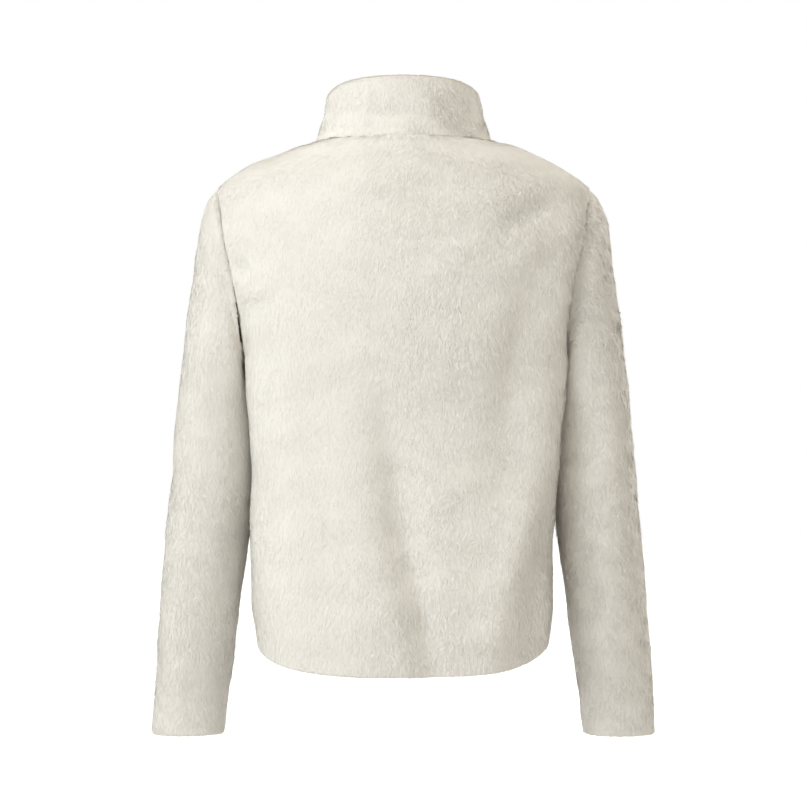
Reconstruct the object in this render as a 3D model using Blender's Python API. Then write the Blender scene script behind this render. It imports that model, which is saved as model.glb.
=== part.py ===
"""Plush fleece jacket, filled out as it is worn.

Frame: metres, +Z up, the front faces -Y, the wearer's left is +X. The origin is the
middle of the neck base, level with the high shoulder points. Tables are in millimetres.

The body is one hollow form through level sections. The back and the two fronts are cut
from it along the shoulder, side, neck and armhole seams. Each sleeve is a loft from its
armhole to its cuff, and the stand collar is a loft from the neck seam to its top edge.
"""
import math

import bmesh
import bpy
import numpy as np
from mathutils import Matrix

MM = 0.001

# ---------------------------------------------------------------- driving sizes, mm
WALL = 6.0             # ground cloth and lying pile together
SEAM_GAP = 0.3         # between two pieces at a seam
SHOULDER_Z = -58.0     # shoulder point
UNDERARM_Z = -272.0
ARMHOLE_BACK = 58.0    # how far the armhole reaches back and forward of the side
ARMHOLE_FRONT = -66.0
NECK_FRONT_DEGREES = 29  # the armhole row that is level with the neck seam in front
HEM_FADE_TOP = -470.0  # level rows above this one, rows that follow the hem below it
HEM_DROP_BACK = 34.5   # how far the hem dips at the centre back and the centre front
HEM_DROP_FRONT = 9.0
HEM_DROP_POWER = 1.3   # how late the dip starts, going from the side to the centre
DENT_Y = -25.0         # the hollow that each sleeve presses into the side
DENT_REACH = 45.0
FRONT_EDGE = 7.0       # front edges stand this far from the centre front
FRONT_STRIP = 21.0     # the strip that the zip tape backs reaches this far
HALF_COLUMNS = 10      # cloth columns from the centre line to the side
CURVE_STEPS = 600      # how finely the section table is read
MERGE = 0.00001        # metres, below which two points are one
SMOOTH_DEGREES = 40

# Level sections of the body form, top down. back and front are depths from y = 0, and
# back_power and front_power say how square each half of the section is.
TORSO_COLUMNS = ("z", "half_width", "back", "front", "back_power", "front_power", "dent")
TORSO_SECTIONS = (
    (-3.0, 105.0, 75.0, 28.0, 2.0, 1.6, 0.0),        # neck seam
    (-6.0, 125.0, 77.0, 34.0, 2.0, 1.6, 0.0),
    (-16.0, 152.0, 82.0, 45.0, 2.0, 1.6, 0.0),
    (-36.0, 196.0, 91.0, 60.0, 2.1, 1.7, 0.0),
    (SHOULDER_Z, 221.5, 99.0, 75.0, 2.2, 1.8, 0.0),
    (-110.0, 225.5, 112.0, 103.0, 2.5, 2.2, 0.0),
    (-165.0, 215.5, 118.0, 121.0, 2.6, 2.5, 0.0),
    (-220.0, 201.5, 117.0, 127.0, 2.7, 2.7, 0.0),
    (UNDERARM_Z, 187.0, 115.0, 127.0, 2.8, 2.8, 0.0),
    (-310.0, 187.0, 112.0, 126.0, 2.8, 2.8, 12.0),
    (-346.0, 184.5, 110.0, 125.0, 2.8, 2.8, 13.0),
    (-460.0, 182.5, 110.0, 122.0, 2.8, 2.8, 8.0),
    (-563.0, 180.0, 114.0, 121.0, 2.8, 2.8, 2.0),
    (-598.0, 175.5, 112.0, 118.5, 2.8, 2.8, 0.0),    # hem at the sides
)

# Levels of the cloth rows: shoulder slope, armhole (by its angle) and body.
SHOULDER_ROWS = (-3.0, -6.0, -10.0, -16.0, -22.0, -29.0, -37.0, -46.0)
ARMHOLE_DEGREES = (0, 15, 22, 27.5, 29, 45, 60, 75, 90, 105, 120, 135, 150, 165, 180)
BODY_ROWS = (-282.0, -297.0, -322.0, -360.0, -410.0, -460.0, -510.0, -555.0, -586.0, -598.0)

# Sleeve rings after the armhole. Each lies in the plane through its outer point, its
# inner point and the Y direction; power says how square it is.
SLEEVE_COLUMNS = ("outer_x", "outer_z", "inner_x", "inner_z", "mid_y", "back_y", "front_y",
                  "power")
SLEEVE_RINGS = (
    (229.0, -64.0, 187.5, -276.5, -1.0, 58.0, -67.0, 2.15),
    (238.5, -80.5, 187.0, -281.0, -3.0, 58.5, -70.0, 2.35),
    (245.5, -108.5, 186.0, -287.0, -6.0, 58.0, -74.0, 2.45),
    (252.5, -155.0, 184.5, -295.0, -10.0, 56.0, -79.0, 2.45),
    (260.0, -205.0, 182.5, -306.0, -15.0, 53.0, -85.0, 2.4),
    (267.0, -258.0, 180.5, -322.0, -19.0, 50.5, -91.0, 2.35),
    (272.5, -305.0, 179.0, -341.0, -22.0, 48.0, -95.0, 2.3),
    (276.5, -346.0, 178.5, -366.0, -24.0, 47.0, -97.0, 2.25),
    (282.8, -409.0, 179.0, -414.0, -26.0, 44.0, -98.0, 2.2),
    (289.2, -482.0, 187.0, -482.0, -28.0, 38.0, -95.0, 2.15),
    (295.8, -555.0, 197.5, -555.0, -31.0, 26.0, -88.0, 2.1),
    (301.3, -628.0, 206.5, -628.0, -34.0, 10.0, -79.0, 2.1),
    (307.0, -702.0, 216.0, -702.0, -38.0, -8.0, -70.0, 2.1),
    (308.0, -719.5, 217.8, -719.5, -39.0, -10.0, -69.0, 2.1),    # cuff edge
)

# Top edge of the collar, seen from above, and its height over y.
COLLAR_HALF_WIDTH = 92.6
COLLAR_BACK = 66.0
COLLAR_FRONT = 79.0
COLLAR_SIDE_Z = 50.0
COLLAR_TILT = 0.45
COLLAR_DIP = 0.0023
COLLAR_ROWS = 5

# Front zip: everything is measured as a depth under the outer face of the cloth.
TAPE_INNER_X = 3.4
TAPE_OUTER_X = 17.2
TAPE_DEPTH = WALL + 0.3
TAPE_THICK = 0.8
TAPE_END = 2.0         # tape stops this far inside the hem and the collar edge
NECK_EASE = 0.3        # tape stands this much deeper where it bends at the neck seam
CHAIN_HALF_WIDTH = 3.0
CHAIN_ABOVE_TAPE = 1.6
CHAIN_BELOW_TAPE = 0.4
CHAIN_TOP = TAPE_DEPTH - CHAIN_ABOVE_TAPE
CHAIN_BOTTOM = TAPE_DEPTH + TAPE_THICK + CHAIN_BELOW_TAPE
RUN = 0.3              # clearance between slider and chain
SLIDER_WIDTH = 9.0
SLIDER_LENGTH = 11.0
SLIDER_PLATE = 1.2
POST_WIDTH = 2.2
POST_LENGTH = 2.6
SLIDER_TO_TOP = 11.0   # slider centre below the top edge of the collar
ARCH_HALF_WIDTH = 0.8
ARCH_HALF_LENGTH = 2.2
ARCH_RISE = 3.0
ARCH_BAR = 1.1
ARCH_LEG = 1.0
ARCH_LIP = 0.1         # the arch's bar stands proud of its legs
BITE = 0.2             # overlap of two blocks that become one
PULL_AXIS_ALONG = -0.4
PULL_AXIS_RISE = 1.0
PULL_WIDTH = 6.0
PULL_LENGTH = 23.0
PULL_THICK = 1.0
PULL_CORNER = 0.4
PULL_BAR = 0.9
HOLE_WIDTH = 2.6
HOLE_LENGTH = 4.4
HOLE_CORNER = 0.3
CORNER_STEPS = 3
BOX_WIDTH = 6.2
BOX_LENGTH = 12.0
BOX_THICK = 3.6
ZIP_REACH = 8.0        # length over which the zip's direction is read

FLEECE = (0.86, 0.83, 0.76, 1.0)
TAPE_CLOTH = (0.80, 0.77, 0.69, 1.0)
TEETH_RESIN = (0.83, 0.80, 0.72, 1.0)
ZIP_METAL = (0.62, 0.60, 0.56, 1.0)


# ---------------------------------------------------------------- curves and sections
def table(columns, rows):
    """The rows as a dictionary of arrays, one for each named column."""
    values = np.array(rows, float)
    return {name: values[:, index] for index, name in enumerate(columns)}


def spline(knots, values, places):
    """Smooth curve through values at knots, read at places."""
    slopes = np.gradient(values, knots)
    index = np.clip(np.searchsorted(knots, places, side="right") - 1, 0, len(knots) - 2)
    span = knots[index + 1] - knots[index]
    t = (places - knots[index]) / span
    start = (1 + 2 * t) * (1 - t) ** 2 * values[index] + t * (1 - t) ** 2 * span * slopes[index]
    end = t * t * (3 - 2 * t) * values[index + 1] + t * t * (t - 1) * span * slopes[index + 1]
    return start + end


def torso_sections(levels):
    """The named sizes of the body form at each level."""
    keys = table(TORSO_COLUMNS, TORSO_SECTIONS)
    steps = np.hypot(np.diff(keys["z"]), np.diff(keys["half_width"]))
    knots = np.concatenate([[0.0], np.cumsum(steps)])
    fine = np.linspace(0.0, knots[-1], CURVE_STEPS)
    fine_z = spline(knots, keys["z"], fine)
    places = np.interp(-np.array(levels), -fine_z, fine)
    sections = {name: spline(knots, keys[name], places) for name in TORSO_COLUMNS}
    sections["z"] = np.array(levels)
    return sections


def smooth_step(value):
    value = np.clip(value, 0.0, 1.0)
    return value * value * (3 - 2 * value)


def armhole_levels():
    """Row levels down the armhole, evenly spread round its loop."""
    half_height = (SHOULDER_Z - UNDERARM_Z) / 2
    angles = np.radians(ARMHOLE_DEGREES)
    return list(UNDERARM_Z + half_height + half_height * np.cos(angles))


class Rows:
    """Every level row of the body, with the places of its seams."""

    def __init__(self):
        self.armhole_start = len(SHOULDER_ROWS)
        self.armhole_end = self.armhole_start + len(ARMHOLE_DEGREES) - 1
        self.levels = list(SHOULDER_ROWS) + armhole_levels() + list(BODY_ROWS)
        self.count = len(self.levels)
        self.neck_front = self.armhole_start + ARMHOLE_DEGREES.index(NECK_FRONT_DEGREES)
        self.sizes = torso_sections(self.levels)

    def armhole_reach(self, row, reach):
        """How far the armhole seam lies from the side line at this row."""
        if not self.armhole_start <= row <= self.armhole_end:
            return 0.0
        angle = ARMHOLE_DEGREES[row - self.armhole_start]
        return abs(reach) * math.sin(math.radians(angle))

    def outer_angle(self, row, half, reach):
        """Section angle where the row meets its side, shoulder or armhole seam."""
        depth = self.sizes[half][row]
        power = self.sizes[half + "_power"][row]
        return math.acos((self.armhole_reach(row, reach) / depth) ** (power / 2))

    def front_angle(self, row, x):
        """Section angle of the front at this distance from the centre line."""
        share = min(1.0, x / self.sizes["half_width"][row])
        return math.asin(share ** (self.sizes["front_power"][row] / 2))

    def front_angles(self, row, columns):
        """Section angles over a front, from its zip edge or the neck seam outwards."""
        end = self.outer_angle(row, "front", ARMHOLE_FRONT)
        if row < self.neck_front:
            top = self.levels[0]
            drop = (top - self.levels[row]) / (top - self.levels[self.neck_front])
            neck_x = self.sizes["half_width"][0] * math.sqrt(1 - drop * drop)
            return np.linspace(self.front_angle(row, neck_x), end, columns + 1)
        strip = self.front_angle(row, FRONT_STRIP)
        edge = self.front_angle(row, FRONT_EDGE)
        return np.append(edge, np.linspace(strip, end, columns))

    def points(self, row, half, angles):
        """Points of one row on the half called back or front, for x above 0."""
        sizes = self.sizes
        power = 2 / sizes[half + "_power"][row]
        sign = 1.0 if half == "back" else -1.0
        x = sizes["half_width"][row] * np.sin(angles) ** power
        y = sign * sizes[half][row] * np.clip(np.cos(angles), 0.0, 1.0) ** power
        x = x - sizes["dent"][row] * np.exp(-(((y - DENT_Y) / DENT_REACH) ** 2))
        drop = HEM_DROP_BACK if half == "back" else HEM_DROP_FRONT
        drop = drop * np.abs(y / sizes[half][row]) ** HEM_DROP_POWER
        level = self.levels[row]
        fade = smooth_step((HEM_FADE_TOP - level) / (HEM_FADE_TOP - BODY_ROWS[-1]))
        return np.stack([x, y, level - fade * drop], axis=1)


# ---------------------------------------------------------------- outer faces, as grids
def back_grid(rows):
    """Rows by columns, from the right side seam over the centre back to the left one."""
    grid = []
    for row in range(rows.count):
        angles = np.linspace(0.0, rows.outer_angle(row, "back", ARMHOLE_BACK), HALF_COLUMNS + 1)
        left = rows.points(row, "back", angles)
        right = left[:0:-1] * (-1, 1, 1)
        grid.append(np.concatenate([right, left]))
    return np.array(grid)


def front_grid(rows):
    """Rows by columns of the left front, from its edge to the side seam."""
    grid = []
    for row in range(rows.count):
        grid.append(rows.points(row, "front", rows.front_angles(row, HALF_COLUMNS)))
    return np.array(grid)


def armhole_loop(rows, back, front):
    """Left armhole seam, from the shoulder point down the back and up the front."""
    first, last = rows.armhole_start, rows.armhole_end
    return np.concatenate([back[first:last + 1, -1], front[last - 1:first:-1, -1]])


def sleeve_grid(loop):
    """Rings by points of the left sleeve, starting with the armhole seam."""
    rings = table(SLEEVE_COLUMNS, SLEEVE_RINGS)
    down = np.radians(ARMHOLE_DEGREES)
    angles = np.concatenate([down, -down[-2:0:-1]])
    grid = [loop]
    for ring in range(len(SLEEVE_RINGS)):
        size = {name: rings[name][ring] for name in SLEEVE_COLUMNS}
        along = np.sign(np.cos(angles)) * np.abs(np.cos(angles)) ** (2 / size["power"])
        across = np.abs(np.sin(angles)) ** (2 / size["power"])
        middle_x = (size["outer_x"] + size["inner_x"]) / 2
        middle_z = (size["outer_z"] + size["inner_z"]) / 2
        side_y = np.where(np.sin(angles) > 0, size["back_y"], size["front_y"]) - size["mid_y"]
        x = middle_x + along * (size["outer_x"] - middle_x)
        z = middle_z + along * (size["outer_z"] - middle_z)
        grid.append(np.stack([x, size["mid_y"] + across * side_y, z], axis=1))
    return np.array(grid)


def neck_line(rows, back, front):
    """Neck seam from the left front edge round the back to the right front edge."""
    left = front[rows.neck_front:0:-1, 0]
    behind = back[0, ::-1]
    right = front[1:rows.neck_front + 1, 0] * (-1, 1, 1)
    return np.concatenate([left, behind, right])


def collar_grid(seam):
    """Rows by columns of the collar, from the neck seam to its top edge."""
    depth = np.where(seam[:, 1] > 0, COLLAR_BACK, COLLAR_FRONT)
    seam_depth = np.where(seam[:, 1] > 0, seam[:, 1].max(), -seam[:, 1].min())
    angles = np.arctan2(seam[:, 1] / seam_depth, seam[:, 0] / seam[:, 0].max())
    x = COLLAR_HALF_WIDTH * np.cos(angles)
    x[0] = FRONT_EDGE
    x[-1] = -FRONT_EDGE
    y = depth * np.sin(angles)
    z = COLLAR_SIDE_Z + COLLAR_TILT * y - COLLAR_DIP * y * y
    top = np.stack([x, y, z], axis=1)
    shares = np.linspace(0.0, 1.0, COLLAR_ROWS)[:, None, None]
    return seam * (1 - shares) + top * shares


# ---------------------------------------------------------------- cloth walls
def place_key(point):
    return tuple(np.round(point, 3))


def seam_normals(grids):
    """Outward direction at every point, shared by the pieces that meet there."""
    sums = {}
    for grid, closed in grids:
        wrapped = np.concatenate([grid, grid[:, :1]], axis=1) if closed else grid
        along = wrapped[1:, :-1] - wrapped[:-1, 1:]
        across = wrapped[1:, 1:] - wrapped[:-1, :-1]
        normals = np.cross(along, across)
        for row, column in np.ndindex(normals.shape[:2]):
            corners = wrapped[row:row + 2, column:column + 2].reshape(4, 3)
            for key in {place_key(corner) for corner in corners}:
                sums[key] = sums.get(key, 0.0) + normals[row, column]
    return sums


def unit(vectors):
    lengths = np.linalg.norm(vectors, axis=-1, keepdims=True)
    return vectors / np.maximum(lengths, 1e-9)


def use_armhole_normals(sums, loop):
    """At an armhole the wall points straight to the middle of the loop."""
    middle = loop.mean(axis=0)
    for point in loop:
        sums[place_key(point)] = point - middle


def inner_grid(grid, sums, depth=WALL):
    """The grid moved into the garment by depth."""
    normals = np.array([[sums[place_key(point)] for point in row] for row in grid])
    return grid - depth * unit(normals)


def seam_shift(outer, inner, next_outer):
    """Half the seam gap, square to the cut wall and towards the inside of the piece."""
    cut = np.cross(np.gradient(outer, axis=0), inner - outer)
    inwards = np.sign((cut * (next_outer - outer)).sum())
    return unit(cut) * inwards * SEAM_GAP / 2


def open_seams(outer, inner, sides):
    """The seam gap opened on the named sides, each with the places of its corners. The
    side called tip is the top row where it is one point between first and last."""
    lines = {"top": ((0, slice(None)), (1, slice(None))),
             "first": ((slice(None), 0), (slice(None), 1)),
             "last": ((slice(None), -1), (slice(None), -2))}
    moves = np.zeros_like(outer)
    for side, corners in sides.items():
        if side == "tip":
            first, last = moves[0, 0], moves[0, -1]
            moves[0] = (first + last) / (1 + first @ last / (SEAM_GAP / 2) ** 2)
            continue
        edge, beside = lines[side]
        ends = (0, *corners, len(outer[edge]) - 1)
        for start, end in zip(ends, ends[1:]):
            part = slice(start, end + 1)
            shift = seam_shift(outer[edge][part], inner[edge][part], outer[beside][part])
            moves[edge][part] += shift
    return outer + moves, inner + moves


def add_rim(mesh, front, rear):
    """Wall edge between two outer and two inner points, split the same way on both sides
    of a seam: from the outer point that lies higher to the far inner point."""
    heights = [abs(point.co.x) + 2 * point.co.y + 3 * point.co.z for point in front]
    if heights[0] < heights[1]:
        front, rear = front[::-1], rear[::-1]
    mesh.faces.new((front[0], front[1], rear[1]))
    mesh.faces.new((front[0], rear[1], rear[0]))


def wall_mesh(outer, inner, closed):
    """Closed solid between two grids of the same size; closed joins last to first."""
    rows, columns = outer.shape[:2]
    mesh = bmesh.new()
    front, rear = ([[mesh.verts.new(point * MM) for point in row] for row in grid]
                   for grid in (outer, inner))
    spans = columns if closed else columns - 1
    for column in range(spans):
        after = (column + 1) % columns
        for row in range(rows - 1):
            for points in (front, rear):
                corners = (points[row][column], points[row][after],
                           points[row + 1][after], points[row + 1][column])
                mesh.faces.new(corners)
        for row in (0, rows - 1):
            add_rim(mesh, (front[row][column], front[row][after]),
                    (rear[row][column], rear[row][after]))
    if not closed:
        for row in range(rows - 1):
            for column in (0, columns - 1):
                add_rim(mesh, (front[row][column], front[row + 1][column]),
                        (rear[row][column], rear[row + 1][column]))
    bmesh.ops.remove_doubles(mesh, verts=mesh.verts, dist=MERGE)
    bmesh.ops.recalc_face_normals(mesh, faces=mesh.faces)
    return mesh


# ---------------------------------------------------------------- objects and materials
def material(name, color, roughness, metallic=0.0):
    made = bpy.data.materials.new(name)
    made.use_nodes = True
    shader = made.node_tree.nodes["Principled BSDF"]
    shader.inputs["Base Color"].default_value = color
    shader.inputs["Roughness"].default_value = roughness
    shader.inputs["Metallic"].default_value = metallic
    made.diffuse_color = color
    return made


def add_object(name, mesh, finish):
    """A finished bmesh as a named object of the jacket."""
    data = bpy.data.meshes.new(name)
    mesh.to_mesh(data)
    mesh.free()
    data.materials.append(finish)
    data.shade_smooth()
    data.set_sharp_from_angle(angle=math.radians(SMOOTH_DEGREES))
    made = bpy.data.objects.new(name, data)
    bpy.data.collections["fleece_jacket"].objects.link(made)
    return made


def cloth_piece(name, grid, sums, sides, closed=False):
    outer, inner = open_seams(grid, inner_grid(grid, sums), sides)
    finish = material(name + "_fleece", FLEECE, 0.95)
    return add_object(name, wall_mesh(outer, inner, closed), finish)


def mirrored_piece(name, source):
    """The other side's piece: the same mesh turned over at x = 0."""
    mesh = bmesh.new()
    mesh.from_mesh(source.data)
    bmesh.ops.scale(mesh, vec=(-1, 1, 1), verts=mesh.verts)
    bmesh.ops.reverse_faces(mesh, faces=mesh.faces)
    finish = source.data.materials[0].copy()
    finish.name = name + "_finish"
    return add_object(name, mesh, finish)


# ---------------------------------------------------------------- zip
def tape_under(grid, sums, x, depth):
    """Points at one x and depth under the first column of a front or collar grid."""
    inner = inner_grid(grid[:, :2], sums, depth)
    first, second = inner[:, 0], inner[:, 1]
    share = (x - first[:, :1]) / (second[:, :1] - first[:, :1])
    return first + (second - first) * share


def zip_strip(front, collar, sums, x, depth):
    """The line of a zip piece from the hem to the collar edge, at one x and depth."""
    body = tape_under(front, sums, x, depth)[::-1]
    neck = tape_under(collar, sums, x, depth)
    bend = (body[-1] + neck[0]) / 2
    bend[1] = max(body[-1][1], neck[0][1]) + NECK_EASE
    line = np.concatenate([body[:-1], bend[None], neck[1:]])
    line[0] += unit(line[1] - line[0]) * TAPE_END
    line[-1] += unit(line[-2] - line[-1]) * TAPE_END
    return line


def cut_line(line, z_low, z_high):
    """The part of a rising line between two heights."""
    kept = line[(line[:, 2] > z_low) & (line[:, 2] < z_high)]
    ends = []
    for level in (z_low, z_high):
        ends.append([np.interp(level, line[:, 2], line[:, axis]) for axis in range(3)])
    return np.concatenate([ends[:1], kept, ends[1:]])


def zip_tape(front, collar, sums):
    outer = np.stack([zip_strip(front, collar, sums, x, TAPE_DEPTH)
                      for x in (TAPE_INNER_X, TAPE_OUTER_X)], axis=1)
    inner = np.stack([zip_strip(front, collar, sums, x, TAPE_DEPTH + TAPE_THICK)
                      for x in (TAPE_INNER_X, TAPE_OUTER_X)], axis=1)
    finish = material("zip_tape_cloth", TAPE_CLOTH, 0.8)
    left = add_object("zip_tape_left", wall_mesh(outer, inner, False), finish)
    mirrored_piece("zip_tape_right", left)


def zip_chain(front, collar, sums, z_low, z_high):
    """The closed teeth as one plain strip between the tapes."""
    sides = []
    for depth in (CHAIN_TOP, CHAIN_BOTTOM):
        line = cut_line(zip_strip(front, collar, sums, FRONT_EDGE, depth), z_low, z_high)
        edges = [line * (0, 1, 1) + (x, 0, 0) for x in (CHAIN_HALF_WIDTH, -CHAIN_HALF_WIDTH)]
        sides.append(np.stack(edges, axis=1))
    finish = material("zip_chain_resin", TEETH_RESIN, 0.45)
    add_object("zip_chain", wall_mesh(sides[0], sides[1], False), finish)


def block(mesh, low, high):
    """An axis-aligned box added to a bmesh, in the zip's local millimetres."""
    size = np.subtract(high, low)
    middle = np.add(high, low) / 2
    place = Matrix.Translation(middle) @ Matrix.Diagonal((*size, 1.0))
    bmesh.ops.create_cube(mesh, size=1.0, matrix=place)


def block_object(name, low, high):
    mesh = bmesh.new()
    block(mesh, low, high)
    data = bpy.data.meshes.new(name)
    mesh.to_mesh(data)
    mesh.free()
    made = bpy.data.objects.new(name, data)
    bpy.data.collections["fleece_jacket"].objects.link(made)
    return made


def joined_blocks(name, boxes):
    """One mesh that is the union of overlapping boxes."""
    base = block_object(name, *boxes[0])
    helpers = []
    for index, box in enumerate(boxes[1:]):
        helper = block_object(f"{name}_add_{index}", *box)
        union = base.modifiers.new("union", "BOOLEAN")
        union.operation = "UNION"
        union.object = helper
        helpers.append(helper)
    bpy.context.view_layer.update()
    evaluated = base.evaluated_get(bpy.context.evaluated_depsgraph_get())
    mesh = bmesh.new()
    mesh.from_mesh(bpy.data.meshes.new_from_object(evaluated))
    for made in (base, *helpers):
        bpy.data.objects.remove(made)
    bmesh.ops.remove_doubles(mesh, verts=mesh.verts, dist=MERGE)
    return mesh


def zip_frame(line, height):
    """Place on the zip line at a height: X, then up the zip, then out of the cloth."""
    origin = np.array([0.0, *(np.interp(height, line[:, 2], line[:, axis]) for axis in (1, 2))])
    next_height = height + ZIP_REACH
    above = np.array([0.0, *(np.interp(next_height, line[:, 2], line[:, axis]) for axis in (1, 2))])
    up = unit(above - origin)
    out = np.array([0.0, -up[2], up[1]])
    place = np.eye(4)
    place[:3, 0] = (1, 0, 0)
    place[:3, 1] = up
    place[:3, 2] = out
    place[:3, 3] = origin
    return place


def place_mesh(mesh, place):
    """Local millimetres to metres in the jacket's frame."""
    matrix = Matrix.Scale(MM, 4) @ Matrix([list(row) for row in place])
    bmesh.ops.transform(mesh, matrix=matrix, verts=mesh.verts)


def zip_slider(place):
    """Two plates, the post between them above the chain, and the arch for the pull."""
    half_x = SLIDER_WIDTH / 2
    half_y = SLIDER_LENGTH / 2
    face = -(CHAIN_TOP - RUN - SLIDER_PLATE)
    rear = -(CHAIN_BOTTOM + RUN)
    top = face + ARCH_RISE
    post_x = POST_WIDTH / 2
    post_low = half_y - POST_LENGTH
    arch = ARCH_HALF_WIDTH
    reach = ARCH_HALF_LENGTH
    bar = arch + ARCH_LIP
    bar_reach = reach + ARCH_LIP
    boxes = (
        ((-half_x, -half_y, face - SLIDER_PLATE), (half_x, half_y, face)),
        ((-half_x, -half_y, rear - SLIDER_PLATE), (half_x, half_y, rear)),
        ((-post_x, post_low, rear - BITE), (post_x, half_y - BITE, face - BITE)),
        ((-arch, -reach, face - BITE), (arch, ARCH_LEG - reach, top - BITE)),
        ((-arch, reach - ARCH_LEG, face - BITE), (arch, reach, top - BITE)),
        ((-bar, -bar_reach, top - ARCH_BAR), (bar, bar_reach, top)),
    )
    mesh = joined_blocks("zip_slider", boxes)
    bmesh.ops.recalc_face_normals(mesh, faces=mesh.faces)
    place_mesh(mesh, place)
    add_object("zip_slider", mesh, material("zip_slider_metal", ZIP_METAL, 0.3, 1.0))
    return face


def rounded_outline(half_width, low, high, corner):
    """Flat points round a rectangle with round corners."""
    points = []
    centres = ((half_width - corner, high - corner, 0), (-half_width + corner, high - corner, 90),
               (-half_width + corner, low + corner, 180), (half_width - corner, low + corner, 270))
    for x, y, start in centres:
        for step in range(CORNER_STEPS + 1):
            angle = math.radians(start + 90 * step / CORNER_STEPS)
            points.append((x + corner * math.cos(angle), y + corner * math.sin(angle)))
    return points


def zip_pull(place, face):
    """Flat tab with a slot; the bar over the slot sits in the slider's arch."""
    axis = np.array([0.0, PULL_AXIS_ALONG, face + PULL_AXIS_RISE])
    outline = bpy.data.curves.new("zip_pull_outline", "CURVE")
    outline.dimensions = "2D"
    outline.fill_mode = "BOTH"
    outline.extrude = PULL_THICK / 2
    top = PULL_BAR / 2
    slot_top = -PULL_BAR / 2
    loops = (
        rounded_outline(PULL_WIDTH / 2, top - PULL_LENGTH, top, PULL_CORNER),
        rounded_outline(HOLE_WIDTH / 2, slot_top - HOLE_LENGTH, slot_top, HOLE_CORNER),
    )
    for points in loops:
        line = outline.splines.new("POLY")
        line.points.add(len(points) - 1)
        for point, (x, y) in zip(line.points, points):
            point.co = (x, y, 0.0, 1.0)
        line.use_cyclic_u = True
    shape = bpy.data.objects.new("zip_pull_outline", outline)
    bpy.data.collections["fleece_jacket"].objects.link(shape)
    bpy.context.view_layer.update()
    evaluated = shape.evaluated_get(bpy.context.evaluated_depsgraph_get())
    mesh = bmesh.new()
    mesh.from_mesh(bpy.data.meshes.new_from_object(evaluated))
    bpy.data.objects.remove(shape)
    bmesh.ops.remove_doubles(mesh, verts=mesh.verts, dist=MERGE)
    bmesh.ops.recalc_face_normals(mesh, faces=mesh.faces)
    turn = Matrix([list(row) for row in place])
    turn.translation = (0.0, 0.0, 0.0)
    bmesh.ops.transform(mesh, matrix=Matrix.Scale(MM, 4) @ turn, verts=mesh.verts)
    made = add_object("zip_pull", mesh, material("zip_pull_metal", ZIP_METAL, 0.3, 1.0))
    made.location = (place @ np.append(axis, 1.0))[:3] * MM
    return made


def zip_box(place):
    """The box and pin that hold the chain's lower end."""
    half_x = BOX_WIDTH / 2
    half_z = BOX_THICK / 2
    middle = -(CHAIN_TOP + CHAIN_BOTTOM) / 2
    mesh = bmesh.new()
    block(mesh, (-half_x, 0.0, middle - half_z), (half_x, BOX_LENGTH, middle + half_z))
    place_mesh(mesh, place)
    add_object("zip_box", mesh, material("zip_box_resin", TEETH_RESIN, 0.4))


def build_zip(front, collar, sums):
    zip_tape(front, collar, sums)
    outer_line = zip_strip(front, collar, sums, FRONT_EDGE, 0.0)
    collar_top = outer_line[-1][2]
    hem = outer_line[0][2]
    slider_z = collar_top - SLIDER_TO_TOP
    post_low = SLIDER_LENGTH / 2 - POST_LENGTH
    zip_chain(front, collar, sums, hem + BOX_LENGTH + 3 * RUN, slider_z + post_low - 2 * RUN)
    slider_place = zip_frame(outer_line, slider_z)
    face = zip_slider(slider_place)
    zip_pull(slider_place, face)
    zip_box(zip_frame(outer_line, hem))


# ---------------------------------------------------------------- jacket
def clear_scene():
    for old in list(bpy.data.objects):
        bpy.data.objects.remove(old)


def main():
    clear_scene()
    bpy.context.scene.collection.children.link(bpy.data.collections.new("fleece_jacket"))
    rows = Rows()
    back = back_grid(rows)
    front = front_grid(rows)
    loop = armhole_loop(rows, back, front)
    sleeve = sleeve_grid(loop)
    collar = collar_grid(neck_line(rows, back, front))

    mirror = (-1, 1, 1)
    fronts = [(front, False), (front[:, ::-1] * mirror, False)]
    sleeves = [(sleeve, True), (sleeve[:, ::-1] * mirror, True)]
    sums = seam_normals([(back[:, ::-1], False), (collar[:, ::-1], False), *fronts, *sleeves])
    use_armhole_normals(sums, loop)
    use_armhole_normals(sums, loop * mirror)

    armhole = (rows.armhole_start, rows.armhole_end)
    neck_corners = (rows.neck_front, len(collar[0]) - 1 - rows.neck_front)
    cloth_piece("back", back, sums, {"top": (), "first": armhole, "last": armhole})
    sides = {"first": (rows.neck_front,), "last": armhole, "tip": ()}
    left = cloth_piece("front_left", front, sums, sides)
    mirrored_piece("front_right", left)
    left = cloth_piece("sleeve_left", sleeve, sums, {"top": ()}, closed=True)
    mirrored_piece("sleeve_right", left)
    cloth_piece("collar", collar, sums, {"top": neck_corners})
    build_zip(front[rows.neck_front:], collar, sums)


main()
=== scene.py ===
"""Looks of the plush fleece jacket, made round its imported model.

Every cloth piece is a thin wall on the jacket's own form, with its folds as soft troughs
and ridges, and a separate pile of lying strands grows on it. Tables are in millimetres,
meshes in metres: +Z up, the front faces -Y, the wearer's left is +X.
"""
import math

import bmesh
import bpy
import numpy as np
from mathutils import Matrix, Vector


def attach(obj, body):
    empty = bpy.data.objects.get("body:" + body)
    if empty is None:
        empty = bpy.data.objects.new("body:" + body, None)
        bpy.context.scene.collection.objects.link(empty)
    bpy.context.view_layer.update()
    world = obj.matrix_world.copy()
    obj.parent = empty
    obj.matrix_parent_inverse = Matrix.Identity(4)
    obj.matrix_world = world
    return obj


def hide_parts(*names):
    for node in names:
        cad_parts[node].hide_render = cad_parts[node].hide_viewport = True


MM = 0.001
MERGE = 0.00001
MIRROR = (-1, 1, 1)
FAR = 1e3

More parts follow.
